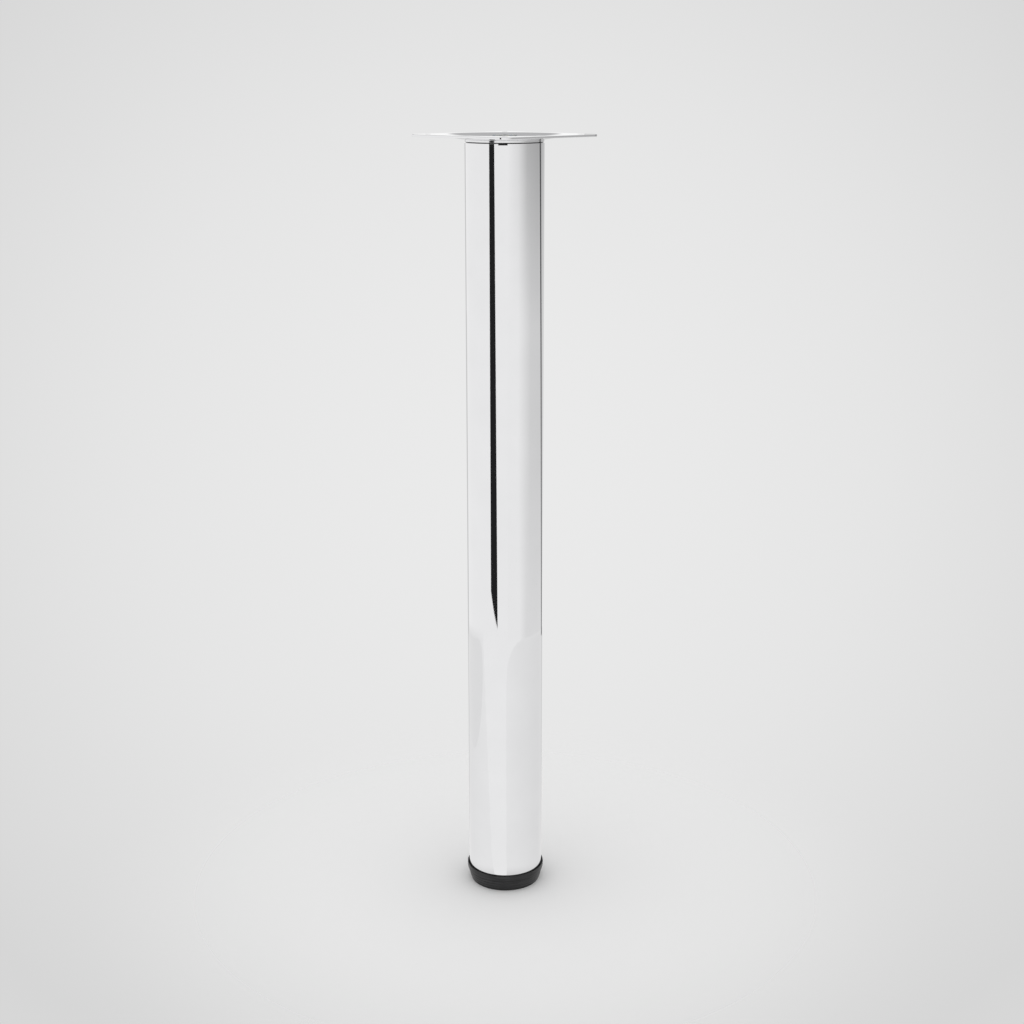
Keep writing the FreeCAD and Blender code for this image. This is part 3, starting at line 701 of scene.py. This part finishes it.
def socket_bolt():
    """Thin headed bolt with a hexagon socket and a threaded shank."""
    head = bolt_high.x
    top = bolt_high.z
    head_low = plate_low.z + SHEET
    piece = turned("socket_bolt", [
        (0, top), (head - BOLT_CROWN_INSET, top, BOLT_CROWN_ROUND), (head, top - BOLT_CROWN_DROP, EASED_EDGE),
        (head, head_low, FINE_EDGE), (0, head_low),
    ])
    shank = thread("shank", BOLT_RADIUS, BOLT_PITCH, bolt_low.z, head_low + SHANK_SINK, tip_low=BOLT_TIP)
    combine(piece, shank, "UNION")
    socket = prism("socket", hexagon(SOCKET_FLATS), top - SOCKET_DEPTH, top + CUTTER_OVERSHOOT)
    combine(piece, socket, "DIFFERENCE")
    return piece


def threaded_spindle():
    """Hexagon head that the foot holds, bevelled below, and a threaded shank."""
    low = spindle_low.z
    head_top = low + SPINDLE_HEAD_HEIGHT
    piece = prism("threaded_spindle", hexagon(SPINDLE_HEAD_FLATS), low, head_top)
    flat = SPINDLE_HEAD_FLATS / 2
    slope = math.tan(HEAD_BEVEL)
    bevel = turned("bevel", [
        (0, low - CUTTER_OVERSHOOT), (flat - CUTTER_OVERSHOOT / slope, low - CUTTER_OVERSHOOT),
        (2 * flat, low + flat * slope), (2 * flat, head_top + CUTTER_OVERSHOOT),
        (0, head_top + CUTTER_OVERSHOOT),
    ])
    combine(piece, bevel, "INTERSECT")
    shank = thread("shank", SPINDLE_RADIUS, SPINDLE_PITCH, head_top - SHANK_SINK, spindle_high.z,
                   tip_high=SPINDLE_TIP)
    combine(piece, shank, "UNION")
    return piece


def moulded_foot():
    """Rim round the tube's end, tapered skirt with grip rings, ribs and a pocket for the spindle's head."""
    low = foot_low.z
    top = foot_high.z
    rim = foot_high.x
    base = rim - FOOT_TAPER
    seat = tube_radius + SEAT_CLEARANCE
    seat_floor = top - SEAT_DEPTH
    web = seat_floor - FOOT_WEB
    rim_low = top - FOOT_RIM_HEIGHT
    lip_top = low + SNAP_LIP
    snap_bore = base - SKIRT_WALL
    groove = snap_bore + SNAP_BEAD
    groove_top = lip_top + 2 * SNAP_CLEARANCE + 2 * SNAP_BEAD
    inside = rim - SKIRT_WALL
    boss = HEAD_POCKET_FLATS / math.sqrt(3) + HEAD_POCKET_WALL
    boss_low = low + FOOT_BOSS_LIFT
    slope = FOOT_TAPER / (rim_low - low)
    pitch = (rim_low - low - 2 * GRIP_START) / (GRIP_RINGS - 1)
    ring_form = ((-GRIP_HALF_WIDTH, 0, GRIP_LIP), (0, GRIP_DEPTH, CRISP_EDGE), (GRIP_HALF_WIDTH, 0, GRIP_LIP))
    skirt = []
    for number in range(GRIP_RINGS):
        middle = low + GRIP_START + number * pitch
        for offset, depth, lip in ring_form:
            height = middle + offset
            skirt.append((base + slope * (height - low) - depth, height, lip))
    piece = turned("moulded_foot", [
        (SPINDLE_HOLE_RADIUS, boss_low), (boss, boss_low, SOFT_EDGE), (boss, web, FOOT_BOSS_FILLET),
        (inside, web, FOOT_WEB_FILLET), (groove, groove_top, FINE_EDGE), (groove, lip_top),
        (snap_bore, lip_top, FINE_EDGE), (snap_bore, low, EASED_EDGE), (base, low, FOOT_BASE_EDGE), *skirt,
        (rim, rim_low, FOOT_RIM_EDGE), (rim, top, EASED_EDGE), (seat + SEAT_LEAD, top, CRISP_EDGE),
        (seat, top - SEAT_LEAD, CRISP_EDGE), (seat, seat_floor, EASED_EDGE),
        (SPINDLE_HOLE_RADIUS, seat_floor, EASED_EDGE),
    ])
    pocket = prism("pocket", hexagon(HEAD_POCKET_FLATS), low - CUTTER_OVERSHOOT, web)
    combine(piece, pocket, "DIFFERENCE")
    ribs = spokes("ribs", FOOT_RIBS, boss - SKIRT_WALL / 2, inside - FOOT_RIB_INSET, FOOT_RIB,
                  groove_top + SNAP_CLEARANCE, web + FOOT_WEB / 2)
    combine(piece, ribs, "UNION")
    return piece


def swivel_glide():
    """Disc on the floor, with a pivot in its middle and a slotted ring that snaps into the foot."""
    edge = glide_high.x
    top = glide_high.z
    hollow = edge - GLIDE_LAND
    snap_bore = foot_high.x - FOOT_TAPER - SKIRT_WALL
    ring = snap_bore - SNAP_CLEARANCE
    ring_inside = ring - SNAP_WALL
    rim_top = GLIDE_RIM_HEIGHT
    bead = rim_top + SNAP_LIP + SNAP_CLEARANCE
    piece = turned("swivel_glide", [
        (0, GLIDE_HOLLOW), (hollow - GLIDE_HOLLOW, GLIDE_HOLLOW, EASED_EDGE), (hollow, 0, FINE_EDGE),
        (edge, 0, SOFT_EDGE), (edge, rim_top, SOFT_EDGE), (ring, rim_top, FINE_EDGE),
        (ring, bead, CRISP_EDGE), (ring + SNAP_BEAD, bead + SNAP_BEAD, FINE_EDGE), (ring, top, FINE_EDGE),
        (ring_inside, top, FINE_EDGE), (ring_inside, rim_top, EASED_EDGE),
        (PIVOT_RADIUS, rim_top, EASED_EDGE), (PIVOT_RADIUS, spindle_low.z, EASED_EDGE), (0, spindle_low.z),
    ])
    slots = spokes("slots", SNAP_SLOTS, ring_inside - SNAP_WALL, ring + 2 * SNAP_BEAD, SNAP_SLOT,
                   rim_top + SNAP_SLOT_LIFT, top + CUTTER_OVERSHOOT)
    combine(piece, slots, "DIFFERENCE")
    return piece


tube_finish = chrome_on_steel_tube()
sheet_finish = chrome_on_pressed_sheet()
casting_finish = chrome_on_die_casting()
zinc_finish = bright_zinc_on_steel()
# Black polypropylene takes the mould's grain well and has a soft sheen
foot_finish = moulded_black(
    "moulded_black_polypropylene", plain_black="#0C0C0D", dust_and_sheen_grey="#2D2D2E", grain=0.5, low_roughness=0.3,
    high_roughness=0.46, index=1.42)
# Black polyethylene is waxy, with a coarser grain and a duller sheen
glide_finish = moulded_black(
    "moulded_black_polyethylene", plain_black="#0B0B0C", dust_and_sheen_grey="#1E1E1F", grain=0.6, low_roughness=0.38,
    high_roughness=0.55, index=1.45)
# Black polyamide is harder and shinier
plug_finish = moulded_black(
    "moulded_black_polyamide", plain_black="#18181A", dust_and_sheen_grey="#262628", grain=0.45, low_roughness=0.3,
    high_roughness=0.42, index=1.53)

dress(chromed_tube(), tube_finish, "leg", "chromed_tube", "leg_tube")
dress(top_casting(), casting_finish, "leg", "chromed_casting", "top_plug")
dress(pressed_plate(), sheet_finish, "leg", "chromed_plate", "mounting_plate")
dress(socket_bolt(), zinc_finish, "leg", "zinc_plated_steel", "plate_bolt")
dress(threaded_spindle(), zinc_finish, "foot", "zinc_plated_steel", "foot_spindle")
dress(moulded_foot(), foot_finish, "foot", "black_foot", "foot")
dress(swivel_glide(), glide_finish, "glide", "black_glide", "floor_glide")
for name, finish in (("bottom_plug", plug_finish), ("plug_nut", zinc_finish)):
    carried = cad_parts[name]
    carried.data.materials.clear()
    carried.data.materials.append(finish)

# Camera at the photo's viewing angle: a corner of the plate towards it, just above the plate's top
CAMERA_AZIMUTH = math.radians(45)
CAMERA_DISTANCE = 1450.0
CAMERA_LIFT = 46.0
CAMERA_AIM_HEIGHT = 369.2
CAMERA_AIM_ASIDE = 6.5
LENS = 57.0
SENSOR = 36.0
toward_camera = Vector((math.sin(CAMERA_AZIMUTH), -math.cos(CAMERA_AZIMUTH), 0))
picture_right = Vector((math.cos(CAMERA_AZIMUTH), math.sin(CAMERA_AZIMUTH), 0))
up = Vector((0, 0, 1))
camera = new_object("camera", bpy.data.cameras.new("camera"))
bpy.context.scene.camera = camera
camera.data.lens = LENS
camera.data.sensor_width = SENSOR
camera.location = (toward_camera * CAMERA_DISTANCE + up * (plate_high.z + CAMERA_LIFT)) * MM
aim = (picture_right * CAMERA_AIM_ASIDE + up * CAMERA_AIM_HEIGHT) * MM
camera.rotation_euler = (aim - camera.location).to_track_quat("-Z", "Y").to_euler()

# Studio sizes, with angles in degrees counted from the camera's side of the leg, to the right
FLOOR_RADIUS = 4000.0
FLOOR_SEGMENTS = 96
FLOOR_FADE_START = 90.0
FLOOR_FADE_END = 420.0
FLOOR_COLOUR = "#E6E6E6"
CONTACT_FORWARD = 15.0
CONTACT_START = 30.0
CONTACT_END = 75.0
FAR_FLOOR_START = 735.0
FAR_FLOOR_END = 800.0
BRIGHT_SIDE = -35.0
STRIP_NEAR = 68.0
STRIP_FAR = 800.0
STRIP_RIGHT = 3.0
STRIP_LEFT = -26.0
STRIP_RIGHT_FLARE = 100.0
STRIP_RIGHT_POWER = 14
STRIP_LEFT_FLARE = 46.0
STRIP_WOBBLE = 1.2
STRIP_WOBBLE_STEP = 1.7
STRIP_STEPS = 40
STRIP_LIFT = 0.5
DISC_TURN = -112.0
DISC_DISTANCE = 545.0
DISC_HALF_DEPTH = 195.0
DISC_HALF_WIDTH = 420.0
DISC_STEPS = 64
CARD_DISTANCE = 757.0
CARD_HEIGHT = 900.0
FLAG_FAR_DISTANCE = 924.0
FLAG_LIFT = 18.0
FLAG_NEAR_LOW = -22.5
FLAG_NEAR_HIGH = -31.0
FLAG_FAR_LOW = -43.0
FLAG_FAR_HIGH = -44.5
EDGE_START = -150.0
EDGE_END = -188.0
EDGE_HEIGHT = 690.0
ROD_DISTANCE = 730.0
ROD_WIDTH = 9.0
ROD_LOW = 147.0
ROD_HIGH = 109.0
SCREEN_START = 8.0
SCREEN_END = 172.0
SCREEN_STEPS = 82
SCREEN_FOOT_FADE = 280.0
SCREEN_SHADE_LOW = 440.0
SCREEN_SHADE_HIGH = 690.0
BACKDROP_REACH = 45.0
BACKDROP_RAISE = 60.0
WORLD_LIGHT = 0.97
SOFTBOX_SIZE = 0.6
SOFTBOX_POWER = 3.5
SOFTBOX_HEIGHT = 2200.0
SOFTBOX_TURN = -60.0
SOFTBOX_DISTANCE = 120.0

# Brightness of the floor as mirrors see it, where 1 is white. The side tones are painted light falling off
# across the floor, and the contact tone is a painted contact shadow round the foot.
DIM_SIDE_TONE = 0.82
BRIGHT_SIDE_TONE = 0.93
FAR_FLOOR_TONE = 0.97
BEHIND_TONE = 0.72
BEHIND_REACH = -0.8
CONTACT_SHADOW_TONE = 0.6


# Studio
def spot_round_leg(turn, distance, height):
    """A place by its angle to the right of the camera as seen from the leg, its distance and height."""
    angle = math.radians(turn)
    outward = toward_camera * math.cos(angle) + picture_right * math.sin(angle)
    return outward * (distance * MM) + up * (height * MM)


def pale_floor():
    """Floor fading into the backdrop. Mirrors see it glow, with painted side light and contact shadow."""
    bm = bmesh.new()
    bmesh.ops.create_circle(bm, cap_ends=True, segments=FLOOR_SEGMENTS, radius=FLOOR_RADIUS * MM)
    floor = object_from("floor", bm)
    material, tree = new_tree("pale_paper_floor")
    place = add(tree, "ShaderNodeTexCoord").outputs["Object"]
    distance = add(tree, "ShaderNodeVectorMath", {0: place}, operation="LENGTH").outputs["Value"]
    fade = add(tree, "ShaderNodeMapRange", {
        "Value": distance, "From Min": FLOOR_FADE_START * MM, "From Max": FLOOR_FADE_END * MM,
    }, interpolation_type="SMOOTHSTEP")
    light_path = add(tree, "ShaderNodeLightPath")
    seen_faded = add(tree, "ShaderNodeMath", {
        0: light_path.outputs["Is Camera Ray"], 1: fade.outputs["Result"],
    }, operation="MULTIPLY")
    paper = add(tree, "ShaderNodeBsdfDiffuse", {"Color": linear(FLOOR_COLOUR)})
    clear = add(tree, "ShaderNodeBsdfTransparent")
    shown = add(tree, "ShaderNodeMixShader", {
        0: seen_faded.outputs["Value"], 1: paper.outputs["BSDF"], 2: clear.outputs["BSDF"],
    })
    outward = add(tree, "ShaderNodeVectorMath", {0: place}, operation="NORMALIZE")
    sideways = add(tree, "ShaderNodeVectorMath", {
        0: outward.outputs["Vector"], 1: spot_round_leg(BRIGHT_SIDE, 1 / MM, 0),
    }, operation="DOT_PRODUCT")
    # Painted light: the glow is brighter on one side of the leg and dimmer on the other
    side_tone = add(tree, "ShaderNodeMapRange", {
        "Value": sideways.outputs["Value"], "From Min": -1.0, "From Max": 1.0,
        "To Min": DIM_SIDE_TONE, "To Max": BRIGHT_SIDE_TONE,
    })
    far_tone = add(tree, "ShaderNodeMapRange", {
        "Value": distance, "From Min": FAR_FLOOR_START * MM, "From Max": FAR_FLOOR_END * MM,
        "To Min": side_tone.outputs["Result"], "To Max": FAR_FLOOR_TONE,
    }, interpolation_type="SMOOTHSTEP")
    facing = add(tree, "ShaderNodeVectorMath", {
        0: outward.outputs["Vector"], 1: toward_camera,
    }, operation="DOT_PRODUCT")
    behind_tone = add(tree, "ShaderNodeMapRange", {
        "Value": facing.outputs["Value"], "From Min": -1.0, "From Max": BEHIND_REACH, "To Min": BEHIND_TONE,
    })
    # Painted contact shadow: the glow darkens round a spot just in front of the foot
    from_contact = add(tree, "ShaderNodeVectorMath", {
        0: place, 1: toward_camera * CONTACT_FORWARD * MM,
    }, operation="DISTANCE")
    contact_shadow = add(tree, "ShaderNodeMapRange", {
        "Value": from_contact.outputs["Value"], "From Min": CONTACT_START * MM, "From Max": CONTACT_END * MM,
        "To Min": CONTACT_SHADOW_TONE,
    }, interpolation_type="SMOOTHSTEP")
    shaded = add(tree, "ShaderNodeMath", {
        0: far_tone.outputs["Result"], 1: contact_shadow.outputs["Result"],
    }, operation="MULTIPLY")
    brightness = add(tree, "ShaderNodeMath", {
        0: shaded.outputs["Value"], 1: behind_tone.outputs["Result"],
    }, operation="MULTIPLY")
    glow = add(tree, "ShaderNodeEmission", {
        "Color": linear("#FFFFFF"), "Strength": brightness.outputs["Value"],
    })
    mirrored = add(tree, "ShaderNodeMath", {
        0: light_path.outputs["Is Glossy Ray"], 1: light_path.outputs["Is Transmission Ray"],
    }, operation="MAXIMUM")
    surface = add(tree, "ShaderNodeMixShader", {
        0: mirrored.outputs["Value"], 1: shown.outputs["Shader"], 2: glow.outputs["Emission"],
    })
    add(tree, "ShaderNodeOutputMaterial", {"Surface": surface.outputs["Shader"]})
    floor.data.materials.append(material)


def reflected_only(card, material):
    """Makes a card of a material that shows in mirrors and neither lights nor shades anything."""
    card.data.materials.append(material)
    card.visible_camera = False
    card.visible_diffuse = False
    card.visible_shadow = False
    card.visible_transmission = False


def plain_card(name, corners, shade):
    """Flat paper card of one shade, for mirrors only."""
    bm = bmesh.new()
    bm.faces.new([bm.verts.new(corner) for corner in corners])
    card = object_from(name, bm)
    material, tree = new_tree(name + "_paper")
    glow = add(tree, "ShaderNodeEmission", {"Color": linear(shade), "Strength": 1.0})
    add(tree, "ShaderNodeOutputMaterial", {"Surface": glow.outputs["Emission"]})
    reflected_only(card, material)


def standing_card(name, start, end, low, high, shade):
    """Upright card between two edges, each given by its angles at the foot and the top and its distance."""
    start_low, start_high, start_distance = start
    end_low, end_high, end_distance = end
    plain_card(name, [
        spot_round_leg(start_low, start_distance, low), spot_round_leg(end_low, end_distance, low),
        spot_round_leg(end_high, end_distance, high), spot_round_leg(start_high, start_distance, high),
    ], shade)


def white_strip():
    """Uneven strip of white paper on the floor in front of the foot, which the tube's lower half mirrors."""
    right = []
    left = []
    for step in range(STRIP_STEPS + 1):
        share = step / STRIP_STEPS
        distance = STRIP_NEAR + (STRIP_FAR - STRIP_NEAR) * share
        wobble = STRIP_WOBBLE * math.sin(step * STRIP_WOBBLE_STEP)
        right.append((STRIP_RIGHT + STRIP_RIGHT_FLARE * share ** STRIP_RIGHT_POWER + wobble / 2, distance))
        left.append((STRIP_LEFT - STRIP_LEFT_FLARE * math.sqrt(share) + wobble, distance))
    far_right = right[-1][0]
    far_step = (left[-1][0] - far_right) / STRIP_STEPS
    far_edge = [(far_right + far_step * step, STRIP_FAR) for step in range(1, STRIP_STEPS)]
    outline = right + far_edge + left[::-1]
    corners = [spot_round_leg(turn, distance, STRIP_LIFT) for turn, distance in outline]
    plain_card("white_strip", corners, "#FBFBFB")


def grey_disc():
    """Oval grey mat on the floor to the left, whose round end shows low on the tube's left side."""
    middle = spot_round_leg(DISC_TURN, DISC_DISTANCE, STRIP_LIFT)
    outward = spot_round_leg(DISC_TURN, DISC_HALF_DEPTH, 0)
    sideways = spot_round_leg(DISC_TURN + 90, DISC_HALF_WIDTH, 0)
    turns = [2 * math.pi * step / DISC_STEPS for step in range(DISC_STEPS)]
    corners = [middle + outward * math.cos(turn) + sideways * math.sin(turn) for turn in turns]
    plain_card("grey_disc", corners, "#EEEEEE")


def grey_screen():
    """Curved grey screen to the right, which shades the tube's right side, more so towards its top."""
    reach = SCREEN_END - SCREEN_START
    turns = [SCREEN_START + reach * step / SCREEN_STEPS for step in range(SCREEN_STEPS + 1)]
    bm = bmesh.new()
    layer = bm.loops.layers.uv.new("along_and_up")
    low, high = [
        [bm.verts.new(spot_round_leg(turn, CARD_DISTANCE, height)) for turn in turns]
        for height in (0, CARD_HEIGHT)
    ]
    for step in range(SCREEN_STEPS):
        face = bm.faces.new((low[step], low[step + 1], high[step + 1], high[step]))
        for loop, (along, upward) in zip(face.loops, ((step, 0), (step + 1, 0), (step + 1, 1), (step, 1))):
            loop[layer].uv = (along / SCREEN_STEPS, upward)
    card = object_from("grey_screen", bm)

    material, tree = new_tree("grey_cloth_screen")
    place = add(tree, "ShaderNodeUVMap", uv_map="along_and_up")
    split = add(tree, "ShaderNodeSeparateXYZ", {"Vector": place.outputs["UV"]})
    foot_shades = [(45, "#FAFAFA"), (67, "#EBEBEB"), (SCREEN_END, "#E7E7E7")]
    lower_shades = [(39, "#FBFBFB"), (81, "#DFDFDF"), (SCREEN_END, "#D8D8D8")]
    upper_shades = [(SCREEN_START, "#FBFBFB"), (39, "#E9E9E9"), (67, "#BDBDBD"), (110, "#B0B0B0"),
                    (SCREEN_END, "#D2D2D2")]
    foot, lower, upper = [
        add(tree, "ShaderNodeValToRGB", {
            "Fac": split.outputs["X"],
        }, [((turn - SCREEN_START) / reach, shade) for turn, shade in shades])
        for shades in (foot_shades, lower_shades, upper_shades)
    ]
    upward = add(tree, "ShaderNodeMapRange", {
        "Value": split.outputs["Y"], "From Min": SCREEN_SHADE_LOW / CARD_HEIGHT,
        "From Max": SCREEN_SHADE_HIGH / CARD_HEIGHT,
    })
    off_floor = add(tree, "ShaderNodeMapRange", {
        "Value": split.outputs["Y"], "From Min": 0.0, "From Max": SCREEN_FOOT_FADE / CARD_HEIGHT,
    })
    low_shade = add(tree, "ShaderNodeMixRGB", {
        "Fac": off_floor.outputs["Result"], "Color1": foot.outputs["Color"], "Color2": lower.outputs["Color"],
    })
    shade = add(tree, "ShaderNodeMixRGB", {
        "Fac": upward.outputs["Result"], "Color1": low_shade.outputs["Color"],
        "Color2": upper.outputs["Color"],
    })
    glow = add(tree, "ShaderNodeEmission", {"Color": shade.outputs["Color"], "Strength": 1.0})
    add(tree, "ShaderNodeOutputMaterial", {"Surface": glow.outputs["Emission"]})
    reflected_only(card, material)


def studio_world():
    """Even white light, a pale backdrop lit in its middle, and for mirrors a bright sky with a grey band."""
    world = bpy.data.worlds.new("studio")
    bpy.context.scene.world = world
    world.use_nodes = True
    tree = world.node_tree
    tree.nodes.clear()
    direction = add(tree, "ShaderNodeTexCoord").outputs["Generated"]
    upward = add(tree, "ShaderNodeSeparateXYZ", {"Vector": direction}).outputs["Z"]
    level = add(tree, "ShaderNodeMapRange", {"Value": upward, "From Min": -1.0, "From Max": 1.0})
    sky_shades = [(-0.02, "#FBFBFB"), (0.06, "#FFFFFF"), (0.16, "#B8B8B9"), (0.36, "#BCBCBD"),
                  (0.6, "#F6F6F6"), (0.95, "#C8C8C9")]
    sky = add(tree, "ShaderNodeValToRGB", {
        "Fac": level.outputs["Result"],
    }, [((height + 1) / 2, shade) for height, shade in sky_shades])
    backdrop_edge = math.cos(math.radians(BACKDROP_REACH))
    aimed = add(tree, "ShaderNodeVectorMath", {
        0: direction, 1: (aim + up * BACKDROP_RAISE * MM - camera.location).normalized(),
    }, operation="DOT_PRODUCT")
    middle = add(tree, "ShaderNodeMapRange", {
        "Value": aimed.outputs["Value"], "From Min": backdrop_edge, "From Max": 1.0,
    })
    backdrop_shades = [(BACKDROP_REACH, "#E6E6E6"), (24, "#D6D6D6"), (18, "#DFDFDF"), (13, "#E5E5E5"),
                       (0, "#EAEAEA")]
    backdrop = add(tree, "ShaderNodeValToRGB", {"Fac": middle.outputs["Result"]}, [
        ((math.cos(math.radians(turn)) - backdrop_edge) / (1 - backdrop_edge), shade)
        for turn, shade in backdrop_shades
    ])
    light_path = add(tree, "ShaderNodeLightPath")
    lit = add(tree, "ShaderNodeBackground", {"Color": linear("#FFFFFF"), "Strength": WORLD_LIGHT})
    mirrored = add(tree, "ShaderNodeBackground", {"Color": sky.outputs["Color"], "Strength": 1.0})
    seen = add(tree, "ShaderNodeBackground", {"Color": backdrop.outputs["Color"], "Strength": 1.0})
    is_mirrored = add(tree, "ShaderNodeMath", {
        0: light_path.outputs["Is Glossy Ray"], 1: light_path.outputs["Is Transmission Ray"],
    }, operation="MAXIMUM")
    bounced = add(tree, "ShaderNodeMixShader", {
        0: is_mirrored.outputs["Value"], 1: lit.outputs["Background"], 2: mirrored.outputs["Background"],
    })
    surface = add(tree, "ShaderNodeMixShader", {
        0: light_path.outputs["Is Camera Ray"], 1: bounced.outputs["Shader"], 2: seen.outputs["Background"],
    })
    add(tree, "ShaderNodeOutputWorld", {"Surface": surface.outputs["Shader"]})


def softbox():
    """Weak lamp above the leg that gives the floor its soft shadow."""
    lamp = new_object("softbox", bpy.data.lights.new("softbox", "AREA"))
    lamp.data.size = SOFTBOX_SIZE
    lamp.data.energy = SOFTBOX_POWER
    lamp.visible_glossy = False
    lamp.location = spot_round_leg(SOFTBOX_TURN, SOFTBOX_DISTANCE, SOFTBOX_HEIGHT)
    lamp.rotation_euler = (-lamp.location).to_track_quat("-Z", "Y").to_euler()


pale_floor()
white_strip()
grey_disc()
# The tube's one crisp dark stripe
standing_card(
    "black_flag", (FLAG_NEAR_LOW, FLAG_NEAR_HIGH, CARD_DISTANCE),
    (FLAG_FAR_LOW, FLAG_FAR_HIGH, FLAG_FAR_DISTANCE), FLAG_LIFT, CARD_HEIGHT, "#232324")
grey_screen()
# The faint line along the tube's left edge
standing_card(
    "grey_edge", (EDGE_START, EDGE_START, CARD_DISTANCE), (EDGE_END, EDGE_END, CARD_DISTANCE),
    0, EDGE_HEIGHT, "#CFCFCF")
# The thin dark line near the tube's right edge, which leans outwards lower down
standing_card(
    "leaning_rod", (ROD_LOW, ROD_HIGH, ROD_DISTANCE),
    (ROD_LOW + ROD_WIDTH, ROD_HIGH + ROD_WIDTH, ROD_DISTANCE), 0, CARD_HEIGHT, "#5A5A5B")
studio_world()
softbox()
bpy.context.scene.view_settings.view_transform = "Standard"
